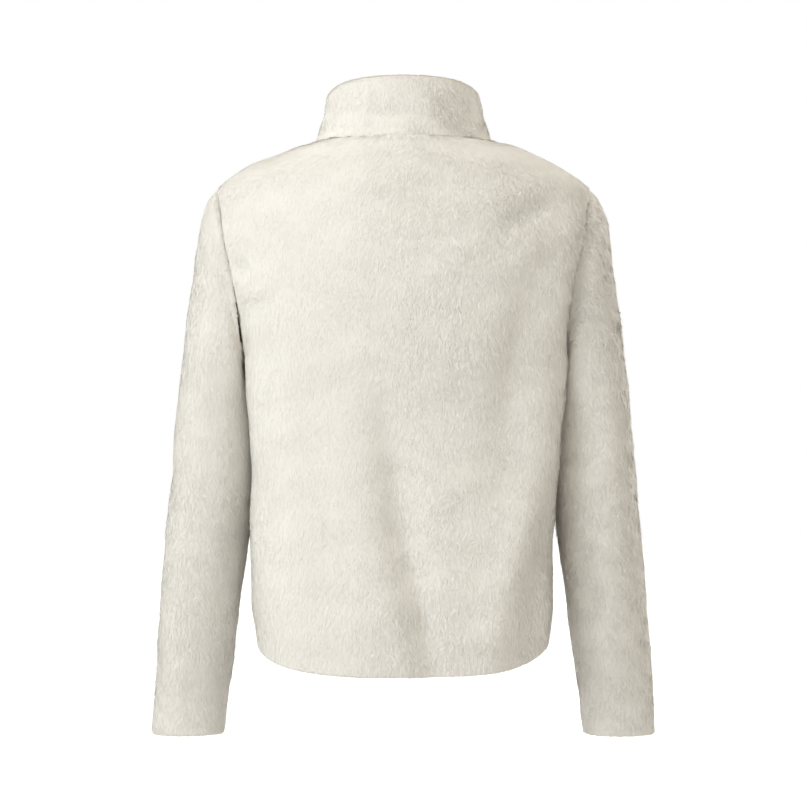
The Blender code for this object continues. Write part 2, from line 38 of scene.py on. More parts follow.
# ---------------- form of the jacket, mm
SHOULDER_Z = -58.0
UNDERARM_Z = -272.0
ARMHOLE_HALF = (SHOULDER_Z - UNDERARM_Z) / 2
HEM_Z = -598.0
ARMHOLE_BACK = 58.0
ARMHOLE_FRONT = 66.0
NECK_FRONT_DEGREES = 29
HEM_FADE_TOP = -470.0
HEM_DROP = {"back": 34.5, "front": 9.0}
HEM_DROP_POWER = 1.3
DENT_Y = -25.0
DENT_REACH = 45.0
FRONT_EDGE = 7.0
CURVE_STEPS = 600
ROW_SAMPLES = 400

TORSO_COLUMNS = ("z", "half_width", "back", "front", "back_power", "front_power", "dent")
TORSO_SECTIONS = (
    (-3, 105, 75, 28, 2, 1.6, 0),
    (-6, 125, 77, 34, 2, 1.6, 0),
    (-16, 152, 82, 45, 2, 1.6, 0),
    (-36, 196, 91, 60, 2.1, 1.7, 0),
    (SHOULDER_Z, 221.5, 99, 75, 2.2, 1.8, 0),
    (-110, 225.5, 112, 103, 2.5, 2.2, 0),
    (-165, 215.5, 118, 121, 2.6, 2.5, 0),
    (-220, 201.5, 117, 127, 2.7, 2.7, 0),
    (UNDERARM_Z, 187, 115, 127, 2.8, 2.8, 0),
    (-310, 187, 112, 126, 2.8, 2.8, 12),
    (-346, 184.5, 110, 125, 2.8, 2.8, 13),
    (-460, 182.5, 110, 122, 2.8, 2.8, 8),
    (-563, 180, 114, 121, 2.8, 2.8, 2),
    (HEM_Z, 175.5, 112, 118.5, 2.8, 2.8, 0),
)
NECK_Z, NECK_HALF_WIDTH = TORSO_SECTIONS[0][:2]
SLEEVE_COLUMNS = ("outer_x", "outer_z", "inner_x", "inner_z", "mid_y", "back_y", "front_y",
                  "power")
SLEEVE_RINGS = (
    (229, -64, 187.5, -276.5, -1, 58, -67, 2.15),
    (238.5, -80.5, 187, -281, -3, 58.5, -70, 2.35),
    (245.5, -108.5, 186, -287, -6, 58, -74, 2.45),
    (252.5, -155, 184.5, -295, -10, 56, -79, 2.45),
    (260, -205, 182.5, -306, -15, 53, -85, 2.4),
    (267, -258, 180.5, -322, -19, 50.5, -91, 2.35),
    (272.5, -305, 179, -341, -22, 48, -95, 2.3),
    (276.5, -346, 178.5, -366, -24, 47, -97, 2.25),
    (282.8, -409, 179, -414, -26, 44, -98, 2.2),
    (289.2, -482, 187, -482, -28, 38, -95, 2.15),
    (295.8, -555, 197.5, -555, -31, 26, -88, 2.1),
    (301.3, -628, 206.5, -628, -34, 10, -79, 2.1),
    (307, -702, 216, -702, -38, -8, -70, 2.1),
    (308, -719.5, 217.8, -719.5, -39, -10, -69, 2.1),
)
COLLAR_HALF_WIDTH = 92.6
COLLAR_BACK = 66.0
COLLAR_FRONT = 79.0
COLLAR_SIDE_Z = 50.0
COLLAR_TILT = 0.45
COLLAR_DIP = 0.0023

# How finely each piece is divided.
SHOULDER_STEPS = 22
ARMHOLE_STEPS = 40
BODY_STEPS = 52
BACK_STEPS = 80
FRONT_STEPS = 38
SLEEVE_STEPS = 96
COLLAR_STEPS = 14
NECK_EASE_STEPS = 6
RIM_STEPS = 3

# ---------------- cloth and pile, mm
PILE_DEPTH = 1.8       # the ground cloth's face lies this far under the pile's tips
WALL_DEPTH = 6.0       # and its inner side this far
TURNING_DEPTH = 8.0    # where the cloth is turned up inside a hem, cuff or collar
TURNING_LENGTH = 22.0
SEAM_PULL = 0.8        # how far a seam draws the cloth in
SEAM_REACH = 5.0
EDGE_TRIM = 1.4        # cut back at hem and cuffs for the strands that pass the edge
NECK_FILL = 1.6        # how far the cloth stands out in the corner between collar and body
ARMHOLE_FILL = 2.6     # and in the left armhole's corner behind
ARMHOLE_FILL_REACH = 8.0
SLEEVE_HOLLOW = 1.4    # how far the sleeve's cloth sinks beside the armhole
SLEEVE_HOLLOW_REACH = 13.0
# how far the body's cloth stands up there, and how near the seam
ARMHOLE_RIDGE = {"back": 1.8, "front_left": 0.8, "front_right": 0.8}
ARMHOLE_RIDGE_AT = 7.0
ARMHOLE_REACH = 6.0
RIDGE_PATCHES = 40.0
FOLD_SEAM_REACH = 14.0  # how near a seam the folds fade
FOLD_START = 0.08       # how a fold's height begins, runs and fills out along its route
FOLD_RUN = 0.84
FOLD_FULLNESS = 0.7
EASE = 0.8              # unevenness of the body's cloth, and how much of it the sleeves have
EASE_SLEEVE = 0.5
EASE_SIZE = 55.0
CROSSING = 0.5          # how far the nap turns across a side seam, and how near it
CROSSING_REACH = 9.0
SHORT_PILE = 0.42       # share of a strand's length at a turned edge
SHORT_REACH = 9.0
SEAM_SHORT = 0.25
SHOULDER_POINT_IN = 6.0
SHOULDER_POINT_REACH = 26.0
EDGE_PILE = 0.3         # more strands at an edge, a seam and a rim, fewer on a turning
SEAM_PILE = 0.5
RIM_PILE = 1.3
TURNING_PILE = 0.45
TURNING_LONG = 0.7
# Gradual changes: where one starts and the span it takes, below 0 where it runs downwards,
# to the wearer's right or to the front.
TURNING_INNER = (TURNING_LENGTH, 3.0)    # distance from the edge to the plain wall
SEAM_DRAWN = (4.0, 14.0)                 # distance from the neck seam to where seams draw in
FILL_BELOW = (-80.0, -30.0)              # z and y of the left armhole's filled corner
FILL_ABOVE = (-282.0, 30.0)
FILL_BEHIND = (0.0, 25.0)
CAP_BELOW = (-66.0, -30.0)               # z of the hollow beside the armhole
RIDGE_BELOW = (SHOULDER_Z + 4.0, -14.0)  # z of the ridge beside it
RIDGE_ABOVE = (UNDERARM_Z + 20.0, 40.0)
UNEVEN = (16.0, 24.0)                    # distance from the zip to uneven cloth
FOLD_SEEN_BODY = (-0.1, 0.4)             # how much the cloth turns towards a fold's side
FOLD_SEEN_SLEEVE = (-0.1, 0.8)
NAP_ON_TOP = (0.25, 0.4)                 # how much it faces up where the nap follows the cut
CALM_ON_TOP = (0.45, 0.35)               # and where the pile lies flat
RUFFLE_RIGHTWARDS = (90.0, -130.0)
RUFFLE_FORWARDS = (10.0, -60.0)

# Sizes in the strands' node tree, m, and the least lift of a strand.
WIDE_SWIRL = 0.045
FINE_SWIRL = 0.009
TONE_PATCH = 0.05
TONE_SPECK = 0.007
ROOT_UNEVEN = 0.0004
MAP_WIDTH = 0.006
LOWEST_LIFT = -0.03

# ---------------- zip and stitches, mm
CHAIN_EDGE = 2.9       # a packed strip's points further from the middle are its long edge
TOOTH_PITCH = 2.6
TOOTH_START = 0.6
TOOTH_OUTLINE = ((3.7, 0.55), (1.2, 0.55), (0.3, 0.36), (-0.3, 0.60), (-0.85, 0.44),
                 (-1.05, 0.0))
TOOTH_ROOT = 3.0        # past this the tooth is clamped on the tape and doesn't taper
TOOTH_RINGS = ((-1.4, 0.80), (-1.1, 1.0), (1.1, 1.0), (1.4, 0.80))
TAPE_EDGE = 17.0
TAPE_HALF = 0.4
TAPE_STITCH_INSET = 2.5
STITCH_START = 2.0
STITCH_PITCH = 3.0
STITCH_LIFT = 0.05
STITCH_SIDES = 6
STITCH_RINGS = ((-1.15, -0.35, 0.16), (-0.85, 0.05, 0.24), (0.85, 0.05, 0.24),
                (1.15, -0.35, 0.16))

CREAM_TIP = (0.932, 0.910, 0.866, 1.0)
# the strands' colour at the root, darker and warmer: painted shade deep in the pile
SHADED_ROOT_CREAM = (0.912, 0.885, 0.826, 1.0)
GROUND_CREAM = (0.922, 0.897, 0.844, 1.0)
BACKING_CREAM = (0.820, 0.795, 0.735, 1.0)
TAPE_CREAM = (0.790, 0.765, 0.700, 1.0)
RESIN_CREAM = (0.830, 0.810, 0.745, 1.0)
THREAD_CREAM = (0.870, 0.850, 0.790, 1.0)
SATIN_NICKEL = (0.640, 0.620, 0.580, 1.0)
KNIT_RIB = 0.0013
KNIT_COURSE = 0.0011
WEAVE = 0.0007

# Folds of each piece, by the side of it that they show on: how far they rise out of the
# cloth, their width, and their route as (x, z) on the back and the front and as (y, z) on
# the left and the right.
FOLDS = {
    ("back", "back"): (
        # the lower back's slanting trough, with a gentle slope on its right
        (-14, 22, ((20, -322), (6, -400), (-2, -478), (-21, -556), (-36, -630))),
        (-4.5, 10, ((-8, -470), (-24, -550), (-37, -632))),
        (-2.5, 34, ((-26, -380), (-44, -480), (-64, -600))),
        (2.5, 9, ((10, -575), (-6, -628))),
        (2.5, 26, ((60, -380), (52, -470), (34, -600))),
        # the broad ridge from the right armhole down the edge, then slanting in to the hem
        (13.5, 25, ((-208, -106), (-200, -150), (-186, -235), (-172, -320), (-156, -400),
                    (-138, -468), (-114, -545), (-102, -610))),
        (-5, 22, ((-166, -130), (-146, -200), (-126, -280), (-108, -380))),
        (-8, 22, ((-170, -450), (-156, -520), (-150, -630))),
        (3.5, 18, ((-198, -106), (-166, -128), (-116, -168))),
        (-4, 12, ((-176, -80), (-142, -98), (-110, -118))),
        # the left armpit's dimple, the rim under it, the fine edge and the hollow inside it
        (-4, 9, ((196, -150), (190, -160), (183, -168))),
        (1.2, 9, ((194, -188), (176, -190), (156, -183))),
        (5, 14, ((190, -190), (178, -260), (171, -340), (168, -440), (164, -520))),
        (3, 18, ((160, -500), (156, -560), (148, -620))),
        (7.5, 32, ((152, -180), (147, -300), (142, -400), (138, -500), (132, -610))),
        (-3.5, 11, ((158, -200), (152, -270), (150, -340))),
        # a short crease across the upper back
        (-1, 5, ((4, -127), (-16, -121), (-34, -126), (-66, -122))),
    ),
    # fronts: slanting from each armpit, and upright ones above the hem
    ("front_left", "front"): (
        (-9, 18, ((188, -190), (150, -262), (104, -330))),
        (5, 15, ((196, -160), (168, -226), (128, -290))),
        (8.5, 21, ((160, -360), (132, -470), (118, -590))),
        (-8.5, 17, ((82, -420), (92, -510), (80, -600))),
    ),
    ("front_right", "front"): (
        (-8.5, 17, ((-190, -180), (-158, -240), (-120, -286))),
        (8.5, 20, ((-96, -300), (-118, -420), (-108, -590))),
        (-8, 16, ((-70, -450), (-62, -530), (-74, -604))),
        (-4.5, 18, ((-154, -400), (-148, -500), (-152, -596))),
    ),
    # sleeves: bends round the elbow and long hollows under the arm
    ("sleeve_left", "back"): (
        (2.5, 18, ((228, -190), (236, -300), (244, -420))),
        (2, 18, ((262, -470), (258, -560), (266, -640))),
    ),
    ("sleeve_left", "front"): (
        (-6, 12, ((262, -340), (230, -374), (196, -384))),
        (-6, 11, ((272, -400), (240, -424), (206, -420))),
        (-4, 13, ((282, -462), (248, -500), (216, -508))),
        (-3, 13, ((250, -600), (270, -640), (300, -656))),
    ),
    ("sleeve_left", "left"): ((-2.5, 13, ((-66, -376), (-30, -404), (0, -398))),),
    ("sleeve_right", "back"): (
        (2.2, 20, ((-242, -322), (-248, -380), (-250, -450))),
        (-1.6, 13, ((-262, -392), (-236, -430), (-206, -450))),
        (3.5, 15, ((-246, -540), (-242, -600), (-254, -660))),
        (-3.5, 12, ((-214, -470), (-220, -530), (-226, -580))),
    ),
    ("sleeve_right", "front"): (
        (-6, 12, ((-262, -340), (-230, -370), (-198, -366))),
        (-6, 12, ((-272, -396), (-238, -424), (-204, -422))),
        (-3.5, 13, ((-286, -520), (-254, -552), (-226, -548))),
    ),
    ("sleeve_right", "right"): ((-2.5, 13, ((-70, -420), (-34, -436), (0, -430))),),
    # collar: a faint hollow round it, deeper on the wearer's right
    ("collar", "back"): (
        (-1.6, 9, ((70, 26), (20, 20), (-30, 18))),
        (-2.4, 8, ((-34, 44), (-56, 26), (-74, 10), (-88, 0))),
        (1.5, 8, ((-22, 40), (-42, 18), (-58, 4))),
    ),
    ("collar", "left"): ((-2, 10, ((-40, 20), (0, 28), (30, 30))),),
    ("collar", "right"): ((-2.5, 10, ((-46, 8), (-6, 24), (26, 30))),),
}
# For each side, the two axes of its routes and the way it faces.
FACINGS = {"back": ((0, 2), (0, 1, 0)), "front": ((0, 2), (0, -1, 0)),
           "left": ((1, 2), (1, 0, 0)), "right": ((1, 2), (-1, 0, 0))}

# How ruffled the pile is: little on the wearer's left of the back, more to the right and in
# front, and most in the spots below: a middle (x, y, z), a reach and a strength.
RUFFLE_LEFT = 0.20
RUFFLE_RIGHT = 0.62
RUFFLE_FRONT = 0.42
RUFFLE_SLEEVE = 0.28
RUFFLE_WAVES = 0.22
RUFFLE_PATCHES = 28.0
RUFFLES = (
    (-130, 95, -85, 42, 0.8),
    (-214, 60, -110, 24, 0.8),
    (-204, 64, -160, 34, 0.6),
    (-40, 62, 40, 15, 0.7),
    (-58, 56, 24, 15, 0.7),
    (-76, 46, 8, 15, 0.7),
    (-15, 110, -585, 60, 0.4),
    (-95, 105, -250, 60, 0.2),
    (-225, 45, -220, 50, 0.4),
    (215, 30, -450, 70, 0.4),
    (240, 5, -600, 70, 0.35),
    (120, -110, -180, 80, 0.4),
    (-110, -115, -420, 90, 0.4),
    (270, -60, -420, 90, 0.15),
)


# ---------------- curves and vectors
def spline(knots, values, places):
    """Smooth curve through values at knots, read at places. Values may have more axes."""
    slopes = np.gradient(values, knots, axis=0)
    index = np.clip(np.searchsorted(knots, places, side="right") - 1, 0, len(knots) - 2)
    shape = (-1,) + (1,) * (values.ndim - 1)
    span = (knots[index + 1] - knots[index]).reshape(shape)
    t = (places - knots[index]).reshape(shape) / span
    start = (1 + 2 * t) * (1 - t) ** 2 * values[index] + t * (1 - t) ** 2 * span * slopes[index]
    end = t * t * (3 - 2 * t) * values[index + 1] + t * t * (t - 1) * span * slopes[index + 1]
    return start + end


def smooth_step(value, start=0.0, span=1.0):
    """0 up to the start, then rising to 1 over the span; a span below 0 runs the other way."""
    value = np.clip((value - start) / span, 0.0, 1.0)
    return value * value * (3 - 2 * value)


def bell(distance, reach):
    """1 at no distance, falling away softly over this reach."""
    return np.exp(-((distance / reach) ** 2))


def unit(vectors):
    lengths = np.linalg.norm(vectors, axis=-1, keepdims=True)
    return vectors / np.maximum(lengths, 1e-9)


def spans(points, axis=0):
    """Lengths between neighbouring points."""
    return np.linalg.norm(np.diff(points, axis=axis), axis=-1)


def passed(lengths):
    """Distance of each point from the first, past these lengths."""
    return np.concatenate([[0.0], np.cumsum(lengths)])


def read_along(places, along, vectors):
    return np.stack([np.interp(places, along, vectors[:, axis]) for axis in range(3)], axis=1)


def waves(points, size, seed, count=14):
    """Soft random unevenness between about -1 and 1, with bumps of this size."""
    chance = np.random.default_rng(seed)
    total = np.zeros(points.shape[:-1])
    for _ in range(count):
        direction = unit(chance.normal(size=3))
        pace = 2 * math.pi / (size * chance.uniform(0.8, 2.2))
        total += np.sin(points @ direction * pace + chance.uniform(0, 2 * math.pi))
    return total / math.sqrt(count / 2)


# ---------------- the jacket's form
class BodyForm:
    """The body's level sections, read at any height."""

    def __init__(self):
        keys = dict(zip(TORSO_COLUMNS, np.array(TORSO_SECTIONS, float).T))
        knots = passed(np.hypot(np.diff(keys["z"]), np.diff(keys["half_width"])))
        self.along = np.linspace(0.0, knots[-1], CURVE_STEPS)
        self.sizes = {name: spline(knots, keys[name], self.along) for name in TORSO_COLUMNS}

    def size(self, name, level):
        return np.interp(-level, -self.sizes["z"], self.sizes[name])

    def levels_between(self, top, bottom, steps):
        """Heights evenly spread along the side's outline."""
        ends = np.interp((-top, -bottom), -self.sizes["z"], self.along)
        return np.interp(np.linspace(*ends, steps + 1), self.along, self.sizes["z"])

    def edge_angle(self, level, half, reach):
        """Section angle of the side seam, or of the armhole where there is one."""
        share = (level - UNDERARM_Z) / ARMHOLE_HALF - 1
        seam = reach * math.sqrt(max(0.0, 1 - share * share))
        power = self.size(half + "_power", level) / 2
        return math.acos((seam / self.size(half, level)) ** power)

    def angle_at(self, level, x):
        """Section angle of the front at this distance from the centre line."""
        share = min(1.0, x / self.size("half_width", level))
        return math.asin(share ** (self.size("front_power", level) / 2))

    def points(self, level, half, angles):
        """Points of one level section on one half, for x above 0."""
        power = 2 / self.size(half + "_power", level)
        sign = 1.0 if half == "back" else -1.0
        depth = self.size(half, level)
        x = self.size("half_width", level) * np.sin(angles) ** power
        y = sign * depth * np.clip(np.cos(angles), 0.0, 1.0) ** power
        x = x - self.size("dent", level) * bell(y - DENT_Y, DENT_REACH)
        drop = HEM_DROP[half] * np.abs(y / depth) ** HEM_DROP_POWER
        fade = smooth_step(level, HEM_FADE_TOP, HEM_Z - HEM_FADE_TOP)
        return np.stack([x, y, level - fade * drop], axis=1)

    def row(self, level, half, first, last, steps):
        """Points evenly spread along one section, between two angles."""
        fine = self.points(level, half, np.linspace(first, last, ROW_SAMPLES))
        along = passed(spans(fine))
        return read_along(np.linspace(0, along[-1], steps + 1), along, fine)


def armhole_level(degrees):
    return UNDERARM_Z + ARMHOLE_HALF * (1 + np.cos(np.radians(degrees)))


def front_armhole_degrees():
    """Armhole rows of a front, closer together where the neck seam turns level."""
    low = armhole_level(NECK_FRONT_DEGREES)
    start = NECK_HALF_WIDTH * math.sqrt(1 - ((NECK_Z - SHOULDER_Z) / (NECK_Z - low)) ** 2)
    x = np.linspace(start, FRONT_EDGE, 2 * NECK_EASE_STEPS + 1)[1:-1]
    levels = NECK_Z - (NECK_Z - low) * np.sqrt(1 - (x / NECK_HALF_WIDTH) ** 2)
    degrees = np.degrees(np.arccos((levels - UNDERARM_Z) / ARMHOLE_HALF - 1))
    below = np.linspace(NECK_FRONT_DEGREES, 180, ARMHOLE_STEPS - NECK_EASE_STEPS)
    return np.concatenate([[0], degrees, below])


def row_levels(form, armhole_degrees):
    """Heights of a half's rows: down the shoulder, the armhole and the side seam."""
    shoulder = form.levels_between(NECK_Z, SHOULDER_Z, SHOULDER_STEPS)
    body = np.linspace(UNDERARM_Z, HEM_Z, BODY_STEPS + 1)
    return np.concatenate([shoulder[:-1], armhole_level(armhole_degrees), body[1:]])


def back_grid(form, levels):
    """From the right side seam over the centre back to the left one."""
    grid = []
    for level in levels:
        last = form.edge_angle(level, "back", ARMHOLE_BACK)
        left = form.row(level, "back", 0.0, last, BACK_STEPS // 2)
        grid.append(np.concatenate([left[:0:-1] * MIRROR, left]))
    return np.array(grid)


def front_grid(form, levels):
    """Left front, from its zip edge or the neck seam to the side seam."""
    top = levels[0]
    low = armhole_level(NECK_FRONT_DEGREES)
    grid = []
    for level in levels:
        first = form.angle_at(level, FRONT_EDGE)
        if level > low:
            drop = (top - level) / (top - low)
            neck_x = NECK_HALF_WIDTH * math.sqrt(1 - drop * drop)
            first = form.angle_at(level, max(neck_x, FRONT_EDGE))
        last = form.edge_angle(level, "front", ARMHOLE_FRONT)
        grid.append(form.row(level, "front", first, last, FRONT_STEPS))
    return np.array(grid)


def sleeve_ring(size, angles):
    along = np.sign(np.cos(angles)) * np.abs(np.cos(angles)) ** (2 / size["power"])
    across = np.abs(np.sin(angles)) ** (2 / size["power"])
    middle_x = (size["outer_x"] + size["inner_x"]) / 2
    middle_z = (size["outer_z"] + size["inner_z"]) / 2
    side_y = np.where(np.sin(angles) > 0, size["back_y"], size["front_y"]) - size["mid_y"]
    x = middle_x + along * (size["outer_x"] - middle_x)
    z = middle_z + along * (size["outer_z"] - middle_z)
    return np.stack([x, size["mid_y"] + across * side_y, z], axis=1)


def sleeve_grid(loop, degrees):
    """Left sleeve, from its armhole loop to the cuff edge."""
    angles = np.radians(degrees)
    rings = [sleeve_ring(dict(zip(SLEEVE_COLUMNS, ring)), angles) for ring in SLEEVE_RINGS]
    keys = np.array([loop] + rings)
    knots = passed(spans(keys).mean(axis=1))
    return spline(knots, keys, np.linspace(0.0, knots[-1], SLEEVE_STEPS + 1))


def collar_grid(seam):
    """From the neck seam to the top edge, between two straight front edges."""
    behind = seam[:, 1] > 0
    depth = np.where(behind, COLLAR_BACK, COLLAR_FRONT)
    seam_depth = np.where(behind, seam[:, 1].max(), -seam[:, 1].min())
    angles = np.arctan2(seam[:, 1] / seam_depth, seam[:, 0] / np.abs(seam[:, 0]).max())
    x = COLLAR_HALF_WIDTH * np.cos(angles)
    x[0] = FRONT_EDGE
    x[-1] = -FRONT_EDGE
    y = depth * np.sin(angles)
    z = COLLAR_SIDE_Z + COLLAR_TILT * y - COLLAR_DIP * y * y
    top = np.stack([x, y, z], axis=1)
    shares = np.linspace(0.0, 1.0, COLLAR_STEPS + 1)[:, None, None]
    return seam * (1 - shares) + top * shares


SIDES = ("top", "bottom", "first", "last")


def side_points(grid, side, step=0):
    """A side's points of a grid, or the points this many steps in from it."""
    return {"top": grid[step], "bottom": grid[-1 - step], "first": grid[:, step],
            "last": grid[:, -1 - step]}[side]


def over_grid(values, side):
    """Values along a side, laid so that they reach across the whole grid."""
    return values[None] if side in ("top", "bottom") else values[:, None]


class Panel:
    """One cut piece as a grid of points, rows down the cloth, with the kinds of its sides.

    A side is "seam" or "turned", or says for each point whether it is turned. The grid's
    columns run so that the cloth's face is outside; closed joins the last to the first."""

    def __init__(self, name, grid, sides, closed=False):
        self.name = name
        self.grid = grid
        self.sides = sides
        self.closed = closed
        self.open_sides = SIDES[:2] if closed else SIDES

    def steps(self, axis):
        """Distance of every point from the first row, or from the first column."""
        return np.insert(np.cumsum(spans(self.grid, axis), axis=axis), 0, 0.0, axis=axis)

    def side_distances(self):
        """Distance of every point from each of the four sides."""
        down, over = self.steps(0), self.steps(1)
        return dict(zip(SIDES, (down, down[-1:] - down, over, over[:, -1:] - over)))

    def edge_distance(self, turned):
        """Distance of every point from the nearest turned edge, or else the nearest seam."""
        nearest = np.full(self.grid.shape[:2], FAR)
        distances = self.side_distances()
        for side in self.open_sides:
            kinds = over_grid(self.turned(side) == turned, side)
            nearest = np.where(kinds, np.minimum(nearest, distances[side]), nearest)
        return nearest

    def turned(self, side):
        """For each point of a side, whether the cloth is turned under there."""
        kind = self.sides[side]
        if isinstance(kind, str):
            return np.full(len(side_points(self.grid, side)), kind == "turned")
        return np.asarray(kind)


def make_panels():
    form = BodyForm()
    back_degrees = np.linspace(0, 180, ARMHOLE_STEPS + 1)
    front_degrees = front_armhole_degrees()
    front_levels = row_levels(form, front_degrees)
    back = back_grid(form, row_levels(form, back_degrees))
    front = front_grid(form, front_levels)
    neck_row = int(np.argmin(np.abs(front_levels - armhole_level(NECK_FRONT_DEGREES))))

    back_armhole = back[SHOULDER_STEPS:, -1][:len(back_degrees)]
    front_armhole = front[SHOULDER_STEPS:, -1][:len(front_degrees)]
    sleeve = sleeve_grid(np.concatenate([back_armhole, front_armhole[-2:0:-1]]),
                         np.concatenate([back_degrees, -front_degrees[-2:0:-1]]))
    neck_left = front[neck_row:0:-1, 0]
    neck_right = front[1:neck_row + 1, 0] * MIRROR
    collar = collar_grid(np.concatenate([neck_left, back[0, ::-1], neck_right]))

    zip_edge = np.arange(len(front)) >= neck_row
    plain = {"top": "seam", "bottom": "turned", "first": "seam", "last": "seam"}
    panels = (
        Panel("back", back[:, ::-1], plain),
        Panel("front_left", front, {**plain, "first": zip_edge}),
        Panel("front_right", (front * MIRROR)[:, ::-1], {**plain, "last": zip_edge}),
        Panel("sleeve_left", sleeve, plain, closed=True),
        Panel("sleeve_right", (sleeve * MIRROR)[:, ::-1], plain, closed=True),
        Panel("collar", collar[:, ::-1], {**plain, "first": "turned", "last": "turned"}),
    )
    return {panel.name: panel for panel in panels}


def own_normals(panel):
    """Outward unit vectors of one panel by itself."""
    grid = panel.grid
    wrapped = np.concatenate([grid, grid[:, :1]], axis=1) if panel.closed else grid
    along = wrapped[1:, :-1] - wrapped[:-1, 1:]
    across = wrapped[1:, 1:] - wrapped[:-1, :-1]
    faces = np.cross(along, across)
    sums = np.zeros_like(wrapped)
    for rows in (slice(None, -1), slice(1, None)):
        for columns in (slice(None, -1), slice(1, None)):
            sums[rows, columns] += faces
    if panel.closed:
        sums[:, 0] += sums[:, -1]
        sums = sums[:, :-1]
    return unit(sums)


def means_by_place(places, vectors):
    """For each vector, the unit mean of those that share its place."""
    found, index = np.unique(places, axis=0, return_inverse=True)
    sums = np.zeros_like(found)
    np.add.at(sums, index.ravel(), vectors)
    return unit(sums)[index.ravel()]


def met_normals(panels, normals):
    """The panels' normals, alike where panels meet, with every panel counting the same."""
    keys, sums = {}, {}
    for name, panel in panels.items():
        places = np.round(panel.grid.reshape(-1, 3), 2) + 0.0
        keys[name] = [tuple(place) for place in places]
        single = means_by_place(places, normals[name].reshape(-1, 3))
        for place, vector in dict(zip(keys[name], single)).items():
            sums[place] = sums.get(place, 0.0) + vector
    return {name: unit(np.array([sums[place] for place in keys[name]])).reshape(panel.grid.shape)
            for name, panel in panels.items()}


def shared_normals(panels):
    """Outward unit vectors, alike where panels meet and turning softly beside a seam."""
    own = {name: own_normals(panel) for name, panel in panels.items()}
    met = met_normals(panels, own)
    eased = {}
    for name, panel in panels.items():
        total, left = np.zeros_like(own[name]), np.ones(panel.grid.shape[:2])
        distances = panel.side_distances()
        for side in panel.open_sides:
            near = bell(distances[side], SEAM_REACH) * over_grid(~panel.turned(side), side)
            total += near[..., None] * over_grid(side_points(met[name], side), side)
            left *= 1 - near
        eased[name] = unit(total + own[name] * left[..., None])
    return met_normals(panels, eased)


# ---------------- folds
def route_distance(places, route):
    """Distance of places from a route, and the share of its length passed there."""
    route = np.array(route, float)
    lengths = spans(route)
    starts = passed(lengths)
    nearest = np.full(places.shape[:-1], 1e9)
    share = np.zeros(places.shape[:-1])
    for start, end, length, before in zip(route, route[1:], lengths, starts):
        t = np.clip((places - start) @ (end - start) / length ** 2, 0.0, 1.0)
        gap = np.linalg.norm(places - start - t[..., None] * (end - start), axis=-1)
        share = np.where(gap < nearest, (before + t * length) / starts[-1], share)
        nearest = np.minimum(gap, nearest)
    return nearest, share


def fold_rise(panel, normals):
    """How far the folds of a panel move each point out of the cloth."""
    rise = np.zeros(panel.grid.shape[:2])
    turning = FOLD_SEEN_SLEEVE if panel.closed else FOLD_SEEN_BODY
    for (piece, facing), folds in FOLDS.items():
        if piece != panel.name:
            continue
        axes, outwards = FACINGS[facing]
        seen = smooth_step(normals @ np.array(outwards), *turning)
        for height, width, route in folds:
            gap, share = route_distance(panel.grid[..., axes], route)
            ends = np.sin(math.pi * np.clip(FOLD_START + FOLD_RUN * share, 0, 1))
            rise += height * ends ** FOLD_FULLNESS * seen * bell(gap, width)
    return rise


def seam_rise(panel, neck_seam):
    """How far a panel's seams, and what stands up or sinks beside them, move each point."""
    x, y, z = np.moveaxis(panel.grid, -1, 0)
    distance = panel.edge_distance(turned=False)
    sides = panel.side_distances()
    from_neck = route_distance(panel.grid, neck_seam)[0]
    filled = smooth_step(z, *FILL_BELOW) * smooth_step(z, *FILL_ABOVE)
    filled *= smooth_step(y, *FILL_BEHIND) * (x > 0)
    pull = SEAM_PULL * smooth_step(from_neck, *SEAM_DRAWN) * (1 - filled)
    rise = NECK_FILL * bell(from_neck, SEAM_REACH)
    rise -= pull * bell(distance, SEAM_REACH)
    rise += ARMHOLE_FILL * filled * bell(distance, ARMHOLE_FILL_REACH)
    if panel.closed:
        hollow = smooth_step(z, *CAP_BELOW) * (1 - filled) * SLEEVE_HOLLOW
        rise -= hollow * (bell(sides["top"], SLEEVE_HOLLOW_REACH) - bell(sides["top"], SEAM_REACH))
    elif panel.name != "collar":
        side = np.minimum(sides["first"] + FAR * (panel.name == "front_left"),
                          sides["last"] + FAR * (panel.name == "front_right"))
        armhole = smooth_step(z, *RIDGE_BELOW) * smooth_step(z, *RIDGE_ABOVE)
        ridge = bell(side - ARMHOLE_RIDGE_AT, ARMHOLE_REACH)
        patchy = 0.9 + 0.15 * waves(panel.grid, RIDGE_PATCHES, seed=8)
        height = ARMHOLE_RIDGE[panel.name] * patchy * (1 - bell(side, 4.0))
        rise += height * armhole * ridge * (1 - 0.7 * filled)
    return rise


def shape_panels(panels):
    """Moves every panel's points into their folds and seams, and returns the normals."""
    normals = shared_normals(panels)
    neck_seam = panels["collar"].grid[0]
    moved = {}
    for name, panel in panels.items():
        distance = panel.edge_distance(turned=False)
        fold = fold_rise(panel, normals[name]) * (1 - bell(distance, FOLD_SEAM_REACH))
        zip_free = smooth_step(np.abs(panel.grid[..., 0]), *UNEVEN)
        front = panel.grid[..., 1] < 0
        ease = EASE * waves(panel.grid, EASE_SIZE, seed=3) * np.where(front, zip_free, 1.0)
        ease *= EASE_SLEEVE if panel.closed else 1.0
        rise = fold + ease + seam_rise(panel, neck_seam)
        moved[name] = panel.grid + normals[name] * rise[..., None]
    for name, panel in panels.items():
        panel.grid = moved[name]
    return shared_normals(panels)


# ---------------- meshes
def linked(name, data):
    """A new object of this data, in the scene."""
    made = bpy.data.objects.new(name, data)
    bpy.context.scene.collection.objects.link(made)
    return made


def new_mesh(name, points, edges=(), faces=()):
    """A mesh from points in millimetres."""
    mesh = bpy.data.meshes.new(name)
    mesh.from_pydata((np.array(points, float) * MM).tolist(), edges, faces)
    return mesh


